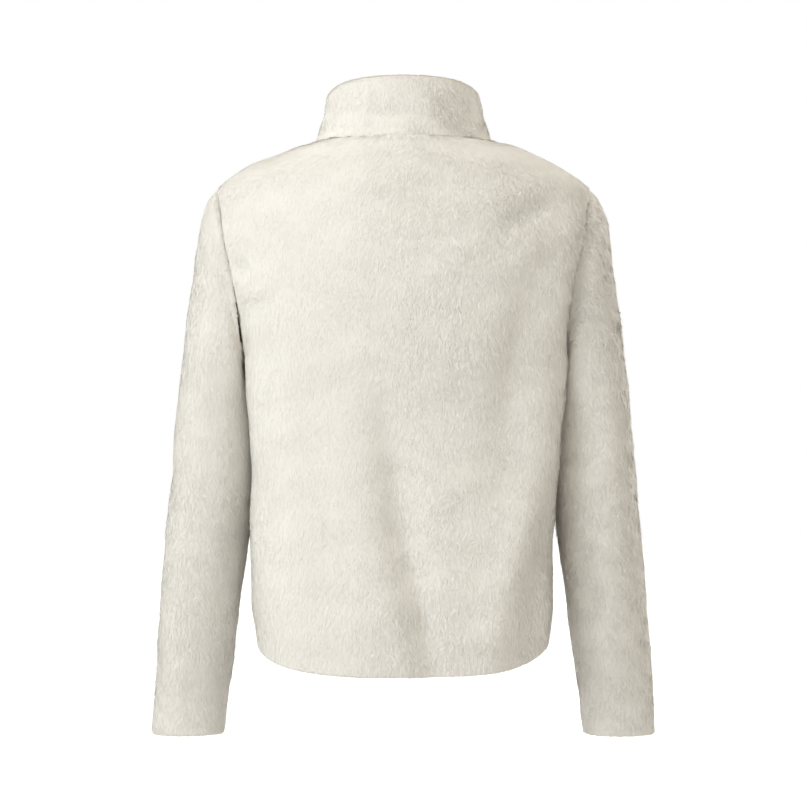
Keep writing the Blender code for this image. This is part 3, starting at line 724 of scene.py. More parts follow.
def write_values(mesh, name, values):
    """Stores one number or one vector for each point of a mesh."""
    values = np.asarray(values, np.float32)
    kind, key = ("FLOAT", "value") if values.ndim == 1 else ("FLOAT_VECTOR", "vector")
    mesh.attributes.new(name, kind, "POINT").data.foreach_set(key, values.ravel())


def cleaned(mesh, flat_degrees=None):
    """The mesh with doubled points merged, flat faces joined and its faces outwards."""
    shape = bmesh.new()
    shape.from_mesh(mesh)
    bmesh.ops.remove_doubles(shape, verts=shape.verts, dist=MERGE)
    if flat_degrees:
        bmesh.ops.dissolve_limit(shape, angle_limit=math.radians(flat_degrees),
                                 verts=shape.verts, edges=shape.edges)
    bmesh.ops.recalc_face_normals(shape, faces=shape.faces)
    shape.to_mesh(mesh)
    shape.free()
    return mesh


def join(objects, name):
    """These mesh objects as one, under this name."""
    with bpy.context.temp_override(active_object=objects[0], selected_editable_objects=objects):
        bpy.ops.object.join()
    objects[0].name = objects[0].data.name = name
    return objects[0]


def belongs(made, body, finish_slot, *nodes):
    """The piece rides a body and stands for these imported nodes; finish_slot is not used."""
    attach(made, body)
    if nodes:
        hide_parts(*nodes)


# ---------------- cloth walls
# How many strands grow at a point, the share of their length, and how ruffled they are.
PILE_VALUES = ("pile", "long", "ruffle")


class Wall:
    """Points, faces and values of a cloth wall while it is being put together."""

    def __init__(self):
        self.parts, self.faces, self.sides = [], [], []
        self.count = 0

    def add_grid(self, points, combs, values, places, side=0, flip=False, closed=False):
        """Adds a grid of points; side is its finish, and values are the PILE_VALUES."""
        shape = points.shape[:2]
        self.parts.append([points.reshape(-1, 3), combs.reshape(-1, 3), places.reshape(-1, 2)]
                          + [np.broadcast_to(value, shape).ravel() for value in values])
        numbers = self.count + np.arange(math.prod(shape)).reshape(shape)
        self.count += math.prod(shape)
        if closed:
            numbers = np.concatenate([numbers, numbers[:, :1]], axis=1)
        quads = np.stack([numbers[:-1, :-1], numbers[1:, :-1], numbers[1:, 1:],
                          numbers[:-1, 1:]], axis=-1).reshape(-1, 4)
        self.faces.append(quads[:, ::-1] if flip else quads)
        self.sides.append(np.full(len(quads), side))

    def object(self, name, *finishes):
        points, combs, places, *values = map(np.concatenate, zip(*self.parts))
        mesh = new_mesh(name, points, (), np.concatenate(self.faces).tolist())
        write_values(mesh, "comb", combs)
        for label, numbers in zip(PILE_VALUES, values):
            write_values(mesh, label, numbers)
        for finish in finishes:
            mesh.materials.append(finish)
        mesh.polygons.foreach_set("material_index", np.concatenate(self.sides).astype(np.int32))
        corners = np.empty(len(mesh.loops), np.int32)
        mesh.loops.foreach_get("vertex_index", corners)
        layer = mesh.uv_layers.new(name="Cloth")
        layer.data.foreach_set("uv", (places[corners] * MM).astype(np.float32).ravel())
        cleaned(mesh).shade_smooth()
        return linked(name, mesh)


def wall_depth(panel):
    """Depth of the cloth's inner side, deeper where a hem, cuff or top edge is turned in."""
    share = 1 - smooth_step(panel.side_distances()["bottom"], *TURNING_INNER)
    return WALL_DEPTH + (TURNING_DEPTH - WALL_DEPTH) * share, share


def ruffle_at(points, normals, sleeve):
    """How ruffled the pile is at each point; it lies flat where the cloth faces up."""
    right = smooth_step(points[..., 0], *RUFFLE_RIGHTWARDS)
    behind = RUFFLE_LEFT + (RUFFLE_RIGHT - RUFFLE_LEFT) * right
    front = smooth_step(points[..., 1], *RUFFLE_FORWARDS)
    total = behind + (RUFFLE_FRONT - behind) * front + RUFFLE_SLEEVE * sleeve
    total = total * (1 + RUFFLE_WAVES * waves(points, RUFFLE_PATCHES, seed=21))
    for x, y, z, reach, strength in RUFFLES:
        total += strength * bell(np.linalg.norm(points - (x, y, z), axis=-1), reach)
    return np.maximum(total, 0.0) * (1 - smooth_step(normals[..., 2], *CALM_ON_TOP))


def nap(panel, normals, lay):
    """The way the pile lies: falling with the cloth, and turning across a body's side seams."""
    falling = unit(normals * normals[..., 2:] - (0.0, 0.0, 1.0))
    on_top = smooth_step(normals[..., 2:], *NAP_ON_TOP)
    comb = unit(unit(np.gradient(panel.grid, axis=0)) * lay * on_top + falling * (1 - on_top))
    if not panel.closed:
        over = unit(np.gradient(panel.grid, axis=1))
        distances = panel.side_distances()
        for side, sign in (("first", -1.0), ("last", 1.0)):
            near = bell(distances[side], CROSSING_REACH) * ~panel.turned(side)[:, None]
            comb += over * (sign * CROSSING * near)[..., None]
    return unit(comb)


def cloth_wall(panel, normals, face_finish, inner_finish):
    """The ground cloth of one panel: face, inner side and rims, with its nap direction."""
    grid = panel.grid
    outer = grid - normals * PILE_DEPTH
    depth, turning = wall_depth(panel)
    inner = grid - normals * depth[..., None]
    lay = -1.0 if panel.name == "collar" else 1.0
    comb = nap(panel, normals, lay)
    trim_edges(panel, outer, inner)
    places = np.stack([panel.steps(1), panel.steps(0)], axis=-1)
    near_edge = bell(panel.edge_distance(turned=True), SHORT_REACH)
    near_seam = bell(panel.edge_distance(turned=False), SHORT_REACH)
    shoulder = np.abs(grid) - (SLEEVE_RINGS[0][0] - SHOULDER_POINT_IN, 0.0, -SHOULDER_Z)
    near_point = bell(np.linalg.norm(shoulder, axis=-1), SHOULDER_POINT_REACH)
    shorter = np.maximum(near_edge, np.maximum(SEAM_SHORT * near_seam, near_point))
    values = (1.0 + EDGE_PILE * near_edge + SEAM_PILE * near_seam,
              1.0 - (1.0 - SHORT_PILE) * shorter, ruffle_at(grid, normals, panel.closed))
    inner_values = (TURNING_PILE * (turning > 0.5), TURNING_LONG, 0.0)

    wall = Wall()
    wall.add_grid(outer, comb, values, places, closed=panel.closed)
    wall.add_grid(inner, -comb, inner_values, places, side=1, flip=True, closed=panel.closed)
    for side in panel.open_sides:
        face, rear = side_points(outer, side), side_points(inner, side)
        away = unit(face - side_points(outer, side, 1))
        turned = rim_share(panel, side)
        radius = np.linalg.norm(face - rear, axis=1, keepdims=True) / 2 * turned[:, None]
        rows = []
        for angle in np.linspace(0.0, math.pi, RIM_STEPS + 2):
            share = (1 - math.cos(angle)) / 2
            rows.append(face * (1 - share) + rear * share + away * radius * math.sin(angle))
        rim = np.array(rows)
        rim_comb = unit(np.gradient(rim, axis=0)) * (lay if side == "bottom" else 1.0)
        if side in ("first", "last"):
            rim_comb = np.broadcast_to(side_points(comb, side), rim.shape)
        rim_places = np.broadcast_to(side_points(places, side), rim.shape[:2] + (2,)).copy()
        rim_places[..., 1] += np.linspace(0, 5, len(rows))[:, None]
        wall.add_grid(rim, rim_comb, (RIM_PILE * turned[None], SHORT_PILE, 0.0), rim_places,
                      closed=panel.closed)
    return wall.object(panel.name + "_cloth", face_finish, inner_finish)


def trim_edges(panel, outer, inner):
    """Moves a wall's turned edges back, so that the round rim ends where the piece does."""
    for side in panel.open_sides:
        turned = rim_share(panel, side)
        thickness = np.linalg.norm(side_points(outer, side) - side_points(inner, side), axis=1)
        trim = turned * (thickness / 2 + EDGE_TRIM * (side == "bottom"))
        for grid in (outer, inner):
            edge, following = side_points(grid, side), side_points(grid, side, 1)
            spacing = np.maximum(np.linalg.norm(edge - following, axis=1), 1e-6)
            edge += (following - edge) * np.minimum(trim / spacing, 0.8)[:, None]


def rim_share(panel, side):
    """How round the rim is at each point of a side: 1 at a turned edge, 0 at a seam."""
    turned = panel.turned(side).astype(float)
    if panel.closed:
        return turned
    run = np.arange(len(turned))
    share = turned * smooth_step(run, 0, 2) * smooth_step(run, len(run) - 1, -2)
    return np.minimum(share, np.minimum(np.roll(turned, 1), np.roll(turned, -1)))


# ---------------- node trees
def shown(sockets, key):
    """A node's socket by its place or its name, among those in use."""
    in_use = [item for item in sockets if item.enabled]
    return in_use[key] if isinstance(key, int) else next(s for s in in_use if s.name == key)


class Nodes:
    """Short ways to add nodes to a tree and join them."""

    def __init__(self, tree):
        self.tree = tree

    def add(self, kind, inputs=(), **settings):
        node = self.tree.nodes.new(kind)
        for name, value in settings.items():
            setattr(node, name, value)
        pairs = inputs.items() if isinstance(inputs, dict) else enumerate(inputs)
        for key, value in pairs:
            socket = shown(node.inputs, key)
            if isinstance(value, bpy.types.NodeSocket):
                self.tree.links.new(value, socket)
            else:
                socket.default_value = value
        return node

    def out(self, kind, inputs=(), **settings):
        """A new node's first output."""
        return self.add(kind, inputs, **settings).outputs[0]

    def math(self, operation, *values):
        return self.out("ShaderNodeMath", values, operation=operation)

    def plus(self, first, *others):
        for other in others:
            first = self.math("ADD", first, other)
        return first

    def times(self, first, second):
        return self.math("MULTIPLY", first, second)

    def vector(self, operation, *values):
        keys = (0, "Scale") if operation == "SCALE" else range(len(values))
        node = self.add("ShaderNodeVectorMath", dict(zip(keys, values)), operation=operation)
        return shown(node.outputs, 0)

    def scaled(self, value, scale):
        return self.vector("SCALE", value, scale)

    def heading(self, first, *others):
        """The unit vector along the sum of these."""
        for other in others:
            first = self.vector("ADD", first, other)
        return self.vector("NORMALIZE", first)

    def across(self, value, outwards):
        """What is left of a vector across this direction."""
        along = self.scaled(outwards, self.vector("DOT_PRODUCT", value, outwards))
        return self.vector("SUBTRACT", value, along)

    def noise(self, place, size, detail=2.0):
        """Smooth noise with bumps of about this size, in metres."""
        return self.out("ShaderNodeTexNoise",
                        {"Vector": place, "Scale": 1 / size, "Detail": detail})

    def spread(self, value, *limits):
        """A value brought from one range to another."""
        return self.out("ShaderNodeMapRange", (value,) + limits)

    def read(self, name, data_type="FLOAT"):
        node = self.add("GeometryNodeInputNamedAttribute", {"Name": name}, data_type=data_type)
        return shown(node.outputs, "Attribute")

    def store(self, geometry, name, value, data_type="FLOAT", domain="POINT"):
        return self.out("GeometryNodeStoreNamedAttribute",
                        {"Geometry": geometry, "Name": name, "Value": value},
                        data_type=data_type, domain=domain)

    def centred(self, value, reach):
        """A value from 0 to 1 spread from -reach to reach."""
        shifted = self.math("SUBTRACT", value, 0.5)
        socket = isinstance(reach, bpy.types.NodeSocket)
        return self.times(shifted, self.times(reach, 2.0) if socket else 2.0 * reach)

    def chance(self, seed, low=0.0, high=1.0):
        return self.add("FunctionNodeRandomValue", {"Min": low, "Max": high, "Seed": seed},
                        data_type="FLOAT").outputs[1]

    def turned_to(self, along, facing):
        """The rotation that lays +Z along one direction and +Y towards another."""
        return self.out("FunctionNodeAxesToRotation",
                        {"Primary Axis": along, "Secondary Axis": facing},
                        primary_axis="Z", secondary_axis="Y")

    def set_out(self, part, points, **placing):
        """Real copies of an object at these points."""
        shape = self.add("GeometryNodeObjectInfo", {"Object": part}).outputs["Geometry"]
        copies = self.out("GeometryNodeInstanceOnPoints",
                          {"Points": points, "Instance": shape, **placing})
        return self.out("GeometryNodeRealizeInstances", [copies])

    def finish(self, mesh, material):
        """Ends the tree with this mesh in this material."""
        mesh = self.out("GeometryNodeSetMaterial", {"Geometry": mesh, "Material": material})
        self.add("NodeGroupOutput", [mesh])


def new_tree(name, inputs, outputs=(("Geometry", "Geometry"),), kind="GeometryNodeTree"):
    """A node group with named sockets: (name, kind) or, with a default, (name, kind, value)."""
    tree = bpy.data.node_groups.new(name, kind)
    for in_out, sockets in (("INPUT", inputs), ("OUTPUT", outputs)):
        for label, socket_kind, *value in sockets:
            made = tree.interface.new_socket(label, in_out=in_out,
                                             socket_type="NodeSocket" + socket_kind)
            if value:
                made.default_value = value[0]
    nodes = Nodes(tree)
    return tree, nodes, nodes.add("NodeGroupInput").outputs


def pile_tree():
    """Strands that lie along the cloth's comb direction and gather into small locks."""
    tree, nodes, given = new_tree("pile", (
        ("Geometry", "Geometry"), ("Strands", "Float", 600000.0), ("Length", "Float", 0.0072),
        ("Width", "Float", 0.0017), ("Root Height", "Float", 0.00025), ("Lift", "Float", 0.0),
        ("Ruffled Lift", "Float", 0.13), ("Swirl", "Float", 0.25),
        ("Ruffled Swirl", "Float", 1.5), ("Lock Size", "Float", 0.006),
        ("Lock Pull", "Float", 0.0014), ("Seed", "Int", 1), ("Strand", "Object"),
        ("Finish", "Material")))
    density = nodes.times(given["Strands"], nodes.read("pile"))
    grown = nodes.add("GeometryNodeDistributePointsOnFaces",
                      {"Mesh": given["Geometry"], "Density": density, "Seed": given["Seed"]},
                      distribute_method="RANDOM")
    outwards = grown.outputs["Normal"]
    place = nodes.out("GeometryNodeInputPosition")
    lying = nodes.heading(nodes.across(nodes.read("comb", "FLOAT_VECTOR"), outwards))
    ruffle = nodes.read("ruffle")

    def unruly(quiet, ruffled):
        """A value that grows with the ruffle from the quiet one."""
        return nodes.plus(quiet, nodes.times(ruffle, ruffled))

    def scatter(seed, quiet, ruffled):
        """A chance value for each strand, either way, of this reach."""
        return nodes.centred(nodes.chance(seed), unruly(quiet, ruffled))

    # the way each strand heads: combed, turned aside, lifted and gathered into its lock
    wide = nodes.centred(nodes.noise(place, WIDE_SWIRL), given["Swirl"])
    fine = nodes.centred(nodes.noise(place, FINE_SWIRL),
                         unruly(given["Swirl"], given["Ruffled Swirl"]))
    angle = nodes.plus(wide, fine, scatter(11, 0.12, 0.5))
    turned = nodes.out("ShaderNodeVectorRotate",
                       {"Vector": lying, "Axis": outwards, "Angle": angle},
                       rotation_type="AXIS_ANGLE")
    cell = nodes.add("ShaderNodeTexVoronoi",
                     {"Vector": place, "Scale": nodes.math("DIVIDE", 1.0, given["Lock Size"])})
    gather = nodes.vector("SUBTRACT", cell.outputs["Position"], place)
    reach = nodes.times(given["Length"], given["Lock Size"])
    pull = nodes.times(nodes.math("DIVIDE", given["Lock Pull"], reach), unruly(0.3, 1.4))
    gather = nodes.scaled(nodes.across(gather, outwards), pull)
    lift = nodes.plus(unruly(given["Lift"], given["Ruffled Lift"]), scatter(12, 0.02, 0.10))
    lift = nodes.math("MAXIMUM", lift, LOWEST_LIFT)
    flat = nodes.scaled(turned, nodes.math("COSINE", lift))
    proud = nodes.scaled(outwards, nodes.math("SINE", lift))
    heading = nodes.heading(flat, proud, gather)

    # its roll and size
    roll = nodes.out("FunctionNodeAxisAngleToRotation",
                     {"Axis": (0, 0, 1), "Angle": scatter(13, 0.02, 0.16)})
    rotation = nodes.out("FunctionNodeRotateRotation",
                         {"Rotation": nodes.turned_to(heading, outwards), "Rotate By": roll},
                         rotation_space="LOCAL")
    length = nodes.times(given["Length"], nodes.chance(14, 0.65, 1.15))
    length = nodes.times(nodes.times(length, nodes.read("long")), unruly(1.0, 0.3))
    width = nodes.times(given["Width"], nodes.chance(15, 0.6, 1.2))
    size = nodes.out("ShaderNodeCombineXYZ", {"X": width, "Y": length, "Z": length})

    # its tone and its normal, close to the cloth's own so that the pile shades softly
    patch = nodes.centred(nodes.noise(place, TONE_PATCH), 0.25)
    speck = nodes.centred(nodes.noise(place, TONE_SPECK), unruly(0.12, 0.5))
    tone = nodes.plus(patch, speck, scatter(16, 0.05, 0.15), 0.5)
    tone = nodes.out("ShaderNodeClamp", [tone, 0.03, 0.97])
    side = nodes.vector("CROSS_PRODUCT", heading, outwards)
    soft = nodes.heading(outwards, nodes.scaled(side, scatter(17, 0.015, 0.25)),
                         nodes.scaled(heading, scatter(18, 0.015, 0.25)))

    rise = nodes.times(unruly(given["Root Height"], ROOT_UNEVEN), nodes.chance(19, 0.1, 1.0))
    rise = nodes.scaled(outwards, rise)
    points = nodes.store(grown.outputs["Points"], "tone", tone)
    for name, value, kind in (("soft_normal", soft, "FLOAT_VECTOR"), ("rise", rise, "FLOAT_VECTOR"),
                              ("heading_to", rotation, "QUATERNION"),
                              ("size_of", size, "FLOAT_VECTOR")):
        points = nodes.store(points, name, value, kind)
    points = nodes.out("GeometryNodeSetPosition",
                       {"Geometry": points, "Offset": nodes.read("rise", "FLOAT_VECTOR")})
    mesh = nodes.set_out(given["Strand"], points, Rotation=nodes.read("heading_to", "QUATERNION"),
                         Scale=nodes.read("size_of", "FLOAT_VECTOR"))
    across = nodes.times(nodes.read("across"), MAP_WIDTH)
    atlas = nodes.out("ShaderNodeCombineXYZ",
                      {"X": nodes.plus(nodes.read("tone"), across), "Y": nodes.read("along")})
    mesh = nodes.store(mesh, "OFBake", atlas, "FLOAT2", "CORNER")
    mesh = nodes.out("GeometryNodeSetShadeSmooth", [mesh])
    mesh = nodes.out("GeometryNodeSetMeshNormal",
                     {"Mesh": mesh, "Custom Normal": nodes.read("soft_normal", "FLOAT_VECTOR")},
                     mode="FREE", domain="POINT")
    nodes.finish(mesh, given["Finish"])
    return tree


def row_tree():
    """Small parts set one after another along a line, each facing the line's outward way."""
    tree, nodes, given = new_tree("row", (("Geometry", "Geometry"), ("Part", "Object"),
                                          ("Pitch", "Float", 0.003), ("Finish", "Material")))
    curve = nodes.out("GeometryNodeMeshToCurve", [given["Geometry"]])
    row = nodes.add("GeometryNodeCurveToPoints", {"Curve": curve, "Length": given["Pitch"]},
                    mode="LENGTH")
    rotation = nodes.turned_to(row.outputs["Tangent"], nodes.read("outwards", "FLOAT_VECTOR"))
    mesh = nodes.set_out(given["Part"], row.outputs["Points"], Rotation=rotation)
    nodes.finish(mesh, given["Finish"])
    return tree


def apply_tree(source, tree, name, **values):
    """The tree's result on a copy of an object, as a plain mesh object of that name."""
    work = source.copy()
    bpy.context.scene.collection.objects.link(work)
    modifier = work.modifiers.new(tree.name, "NODES")
    modifier.node_group = tree
    identifiers = {item.name: item.identifier for item in tree.interface.items_tree
                   if item.in_out == "INPUT"}
    for label, value in values.items():
        modifier[identifiers[label.replace("_", " ")]] = value
    bpy.context.view_layer.update()
    evaluated = work.evaluated_get(bpy.context.evaluated_depsgraph_get())
    mesh = bpy.data.meshes.new_from_object(evaluated)
    mesh.name = name
    bpy.data.objects.remove(work)
    return linked(name, mesh)


def strand_shape():
    """One strand of unit size along +Z, wide at its root, with its face towards +Y."""
    mesh = bpy.data.meshes.new("strand")
    mesh.from_pydata([(-0.5, 0, 0), (0.5, 0, 0), (0, 0, 1)], [], [(0, 2, 1)])
    write_values(mesh, "across", (-1.0, 1.0, 0.0))
    write_values(mesh, "along", (0.02, 0.02, 0.98))
    return linked("strand", mesh)


# ---------------- zip and stitches
def packed_line(node, least_x):
    """Middle line of a packed strip's long edge, bottom to top, and the way it faces."""
    mesh = cleaned(node.data.copy())
    points = np.array([vertex.co for vertex in mesh.vertices]) / MM
    bpy.data.meshes.remove(mesh)
    points = points[points[:, 0] * np.sign(least_x) > abs(least_x)]
    gaps = np.linalg.norm(points[:, None] - points[None], axis=2)
    np.fill_diagonal(gaps, 1e9)
    partner = gaps.argmin(axis=1)
    front = points[:, 1] < points[partner, 1]
    middles = (points + points[partner])[front] / 2
    outwards = unit((points - points[partner])[front])
    order = np.argsort(middles[:, 2])
    return middles[order], outwards[order]


def parts_along(points, outwards, skip, tree, part, pitch, finish):
    """Copies of a part along a line, whose first stretch of this length is left out."""
    along = passed(spans(points))
    places = np.concatenate([[skip], along[along > skip + 0.5]])
    edges = [(index, index + 1) for index in range(len(places) - 1)]
    mesh = new_mesh("line", read_along(places, along, points), edges)
    write_values(mesh, "outwards", read_along(places, along, outwards))
    line = linked("line", mesh)
    made = apply_tree(line, tree, "parts", Part=part, Pitch=pitch * MM, Finish=finish)
    bpy.data.objects.remove(line)
    return made


def rings_object(name, rings):
    """A closed part skinned over rings of points of equal count, capped at both ends, in mm."""
    count = len(rings[0])
    points = [point for ring in rings for point in ring]
    faces = [tuple(range(count))[::-1], tuple(range(len(points) - count, len(points)))]
    for row in range(len(rings) - 1):
        for index in range(count):
            following = (index + 1) % count
            low, high = row * count, (row + 1) * count
            faces.append((low + index, low + following, high + following, high + index))
    return linked(name, cleaned(new_mesh(name, points, (), faces)))


def tooth_shape(side):
    """One moulded tooth: a block gripping the tape, a neck and a head past the middle."""
    upper = [(x * side, height) for x, height in TOOTH_OUTLINE]
    outline = upper + [(x, -height) for x, height in upper[::-1] if height > 0]
    return rings_object("tooth", [[(x if abs(x) > TOOTH_ROOT else x * size, depth, height * size)
                                   for x, height in outline] for depth, size in TOOTH_RINGS])


def stitch_shape():
    """One stitch lying along its row, its ends going down into the cloth."""
    angles = np.linspace(0, 2 * math.pi, STITCH_SIDES, endpoint=False)
    return rings_object("stitch", [[(radius * math.cos(angle), lift + radius * math.sin(angle),
                                     along) for angle in angles]
                                   for along, lift, radius in STITCH_RINGS])


def softened_copy(name, packed, bevel, finish):
    """A packed hard part with its edges rounded."""
    mesh = cleaned(packed.data.copy(), flat_degrees=2)
    mesh.name = name
    mesh.materials.clear()
    mesh.materials.append(finish)
    mesh.shade_smooth()
    made = linked(name, mesh)
    rounding = made.modifiers.new("rounding", "BEVEL")
    rounding.width = bevel * MM
    rounding.segments = 3
    rounding.limit_method = "ANGLE"
    rounding.angle_limit = math.radians(35)
    return made


def make_zip(nodes, row, tone, yarns):
    """Teeth, box, slider and pull of the closed front zip, with the woven tapes' finish."""
    resin = resin_material(tone)
    metal = metal_material(tone)
    tape = tape_material(yarns)
    middles, outwards = packed_line(nodes["zip_chain"], CHAIN_EDGE)
    middles = middles * (0, 1, 1)
    rows = []
    for side in (1, -1):
        tooth = tooth_shape(side)
        start = TOOTH_START + (side < 0) * TOOTH_PITCH / 2
        rows.append(parts_along(middles, outwards, start, row, tooth, TOOTH_PITCH, resin))
        bpy.data.objects.remove(tooth)
    belongs(join(rows, "zip_teeth"), "garment", "zip_resin", "zip_chain")
    for name, node, bevel, finish, body, finish_slot in (
            ("zip_box_moulded", "zip_box", 0.5, resin, "garment", "zip_resin"),
            ("zip_slider_cast", "zip_slider", 0.35, metal, "garment", "zip_metal"),
            ("zip_pull_tab", "zip_pull", 0.3, metal, "pull", "zip_metal")):
        belongs(softened_copy(name, nodes[node], bevel, finish), body, finish_slot, node)
    for name in ("zip_tape_left", "zip_tape_right"):
        nodes[name].data.materials.clear()
        nodes[name].data.materials.append(tape)


def make_stitches(panels, normals, nodes, row, tone):
    """Rows of stitches inside: along the turned hem and cuffs and down the zip's tapes."""
    stitch = stitch_shape()
    thread = thread_material(tone)
    lines = []
    for name, panel in panels.items():
        if name == "collar":
            continue
        distance = panel.side_distances()["bottom"].mean(axis=1)
        at = int(np.argmin(np.abs(distance - (TURNING_LENGTH - STITCH_START))))
        depth = wall_depth(panel)[0][at][:, None] + STITCH_LIFT
        points, outward = panel.grid[at] - normals[name][at] * depth, -normals[name][at]
        if panel.closed:
            points, outward = (np.concatenate([values, values[:1]]) for values in (points, outward))
        lines.append((points, outward))
    for name, side in (("zip_tape_left", 1), ("zip_tape_right", -1)):
        middles, outwards = packed_line(nodes[name], side * TAPE_EDGE)
        inset = (side * TAPE_STITCH_INSET, 0, 0)
        lines.append((middles - outwards * (TAPE_HALF + STITCH_LIFT) - inset, -outwards))
    made = [parts_along(points, outward, STITCH_START, row, stitch, STITCH_PITCH, thread)
            for points, outward in lines]
    bpy.data.objects.remove(stitch)
    belongs(join(made, "stitches"), "garment", "zip_tape")


# ---------------- materials
class Finish(Nodes):
    """A material's nodes, and short ways to drive its surface."""

    def __init__(self, name, color, roughness, metallic=0.0, **constants):
        self.material = bpy.data.materials.new(name)
        self.material.use_nodes = True
        super().__init__(self.material.node_tree)
        self.shader = self.tree.nodes["Principled BSDF"]
        self.color = color
        constants.update(Base_Color=color, Roughness=roughness, Metallic=metallic)
        for label, value in constants.items():
            self.shader.inputs[label.replace("_", " ")].default_value = value

    def drive(self, label, value):
        self.tree.links.new(value, self.shader.inputs[label])

    def object_place(self):
        return self.add("ShaderNodeTexCoord").outputs["Object"]

    def mapped_parts(self, uv_map):
        place = self.out("ShaderNodeUVMap", uv_map=uv_map)
        return self.add("ShaderNodeSeparateXYZ", [place]).outputs

    def colored_by(self, effect, **values):
        """Drives the colour by an effect with these values, and returns its outputs."""
        values["Color"] = self.color
        outputs = self.add("ShaderNodeGroup", values, node_tree=effect).outputs
        self.drive("Base Color", outputs["Color"])
        return outputs

    def bump(self, height, strength, distance):
        self.drive("Normal", self.out("ShaderNodeBump", {"Strength": strength,
                                                         "Distance": distance, "Height": height}))


def pile_material():
    """Cream strands, darker and warmer at the root as painted shade deep in the pile; the map's u
    is a strand's tone, v its length.
    """
    made = Finish("cream_pile", CREAM_TIP, 0.95, Specular_IOR_Level=0.0)
    parts = made.mapped_parts("OFBake")
    # painted shade: the colour darkens from the tip down to the root, where the strands shade each
    # other
    grown = made.spread(parts[1], 0.0, 0.7, 0.0, 1.0)
    color = made.add("ShaderNodeMix", {"Factor": grown, "A": SHADED_ROOT_CREAM, "B": CREAM_TIP},
                     data_type="RGBA")
    tone = made.spread(parts[0], 0.0, 1.0, 0.94, 1.045)
    made.drive("Base Color", made.scaled(shown(color.outputs, "Result"), tone))
    return made.material


def uneven_tone_effect():
    """A colour that varies softly in patches of one size, and the mask it varies by."""
    tree, nodes, given = new_tree(
        "uneven_tone", (("Place", "Vector"), ("Color", "Color"), ("Size", "Float"),
                        ("Darkest", "Float"), ("Lightest", "Float")),
        (("Color", "Color"), ("Mask", "Float")), "ShaderNodeTree")
    scale = nodes.math("DIVIDE", 1.0, given["Size"])
    noise = nodes.out("ShaderNodeTexNoise",
                      {"Vector": given["Place"], "Scale": scale, "Detail": 2.0})
    mask = nodes.spread(noise, 0.3, 0.7, 0.0, 1.0)
    shade = nodes.spread(mask, 0.0, 1.0, given["Darkest"], given["Lightest"])
    nodes.add("NodeGroupOutput", [nodes.scaled(given["Color"], shade), mask])
    return tree


def yarns_effect():
    """Ribs crossed by courses of yarn, slanting or looped, as a height and a colour with painted
    shade where the yarns lie low.
    """
    tree, nodes, given = new_tree(
        "yarns", (("Across", "Float"), ("Up", "Float"), ("Color", "Color"), ("Rib", "Float"),
                  ("Course", "Float"), ("Slant", "Float"), ("Loop", "Float")),
        (("Color", "Color"), ("Height", "Float")), "ShaderNodeTree")
    across = nodes.times(nodes.math("DIVIDE", given["Across"], given["Rib"]), math.tau)
    up = nodes.times(nodes.math("DIVIDE", given["Up"], given["Course"]), math.tau)
    rib = nodes.math("SINE", across)
    slanted = nodes.plus(up, nodes.times(across, given["Slant"]))
    looped = nodes.times(nodes.math("ABSOLUTE", rib), given["Loop"])
    course = nodes.math("SINE", nodes.plus(slanted, looped))
    height = nodes.times(nodes.plus(rib, course), 0.5)
    # painted shade: the colour darkens where the yarns lie low, between them
    shade = nodes.spread(height, -1.0, 1.0, 0.87, 1.04)
    nodes.add("NodeGroupOutput", [nodes.scaled(given["Color"], shade), height])
    return tree


def cloth_material(tone):
    """Ground cloth: short brushed nap over a fine knit."""
    made = Finish("cream_ground", GROUND_CREAM, 0.95, Specular_IOR_Level=0.0)
    place = made.object_place()
    made.colored_by(tone, Place=place, Size=0.03, Darkest=0.95, Lightest=1.03)
    made.bump(made.noise(place, 0.0015, 3.0), 0.5, 0.0006)
    return made.material


def knit_material(yarns):
    """Inner side of the cloth: fine upright knit ribs, drawn on the cloth's own map."""
    made = Finish("cream_knit", BACKING_CREAM, 0.9, Sheen_Weight=0.1)
    parts = made.mapped_parts("Cloth")
    knit = made.colored_by(yarns, Across=parts[0], Up=parts[1], Rib=KNIT_RIB, Course=KNIT_COURSE,
                           Slant=0.0, Loop=2.2)
    made.bump(knit["Height"], 0.6, 0.0003)
    return made.material


def tape_material(yarns):
    """Woven zip tape: a fine twill with upright ribs."""
    made = Finish("woven_tape", TAPE_CREAM, 0.8, Sheen_Weight=0.15)
    parts = made.add("ShaderNodeSeparateXYZ", [made.object_place()]).outputs
    twill = made.colored_by(yarns, Across=parts[0], Up=parts[2], Rib=WEAVE, Course=WEAVE,
                            Slant=0.5, Loop=0.0)
    made.bump(twill["Height"], 0.7, 0.00015)
    return made.material


def thread_material(tone):
    """Polyester sewing thread with a slight lustre and a twist."""
    made = Finish("sewing_thread", THREAD_CREAM, 0.5, Sheen_Weight=0.2)
    made.colored_by(tone, Place=made.object_place(), Size=0.0004, Darkest=0.9, Lightest=1.04)
    return made.material


def resin_material(tone):
    """Moulded acetal teeth and box: satin, with faint flow marks."""
    made = Finish("moulded_resin", RESIN_CREAM, 0.35, Coat_Weight=0.15, Coat_Roughness=0.3)
    flow = made.colored_by(tone, Place=made.object_place(), Size=0.0012, Darkest=0.96,
                           Lightest=1.03)
    made.drive("Roughness", made.spread(flow["Mask"], 0.0, 1.0, 0.28, 0.46))
    return made.material


def metal_material(tone):
    """Satin nickel plate, brushed along the zip and a little duller in patches."""
    made = Finish("satin_nickel", SATIN_NICKEL, 0.3, 1.0)
    place = made.object_place()
    stretched = made.vector("MULTIPLY", place, (1.0, 1.0, 0.12))
    brush = made.colored_by(tone, Place=stretched, Size=0.00035, Darkest=0.92, Lightest=1.05)
    made.drive("Roughness", made.spread(made.noise(place, 0.004), 0.3, 0.7, 0.24, 0.38))
    made.bump(brush["Mask"], 0.25, 0.00005)
    return made.material


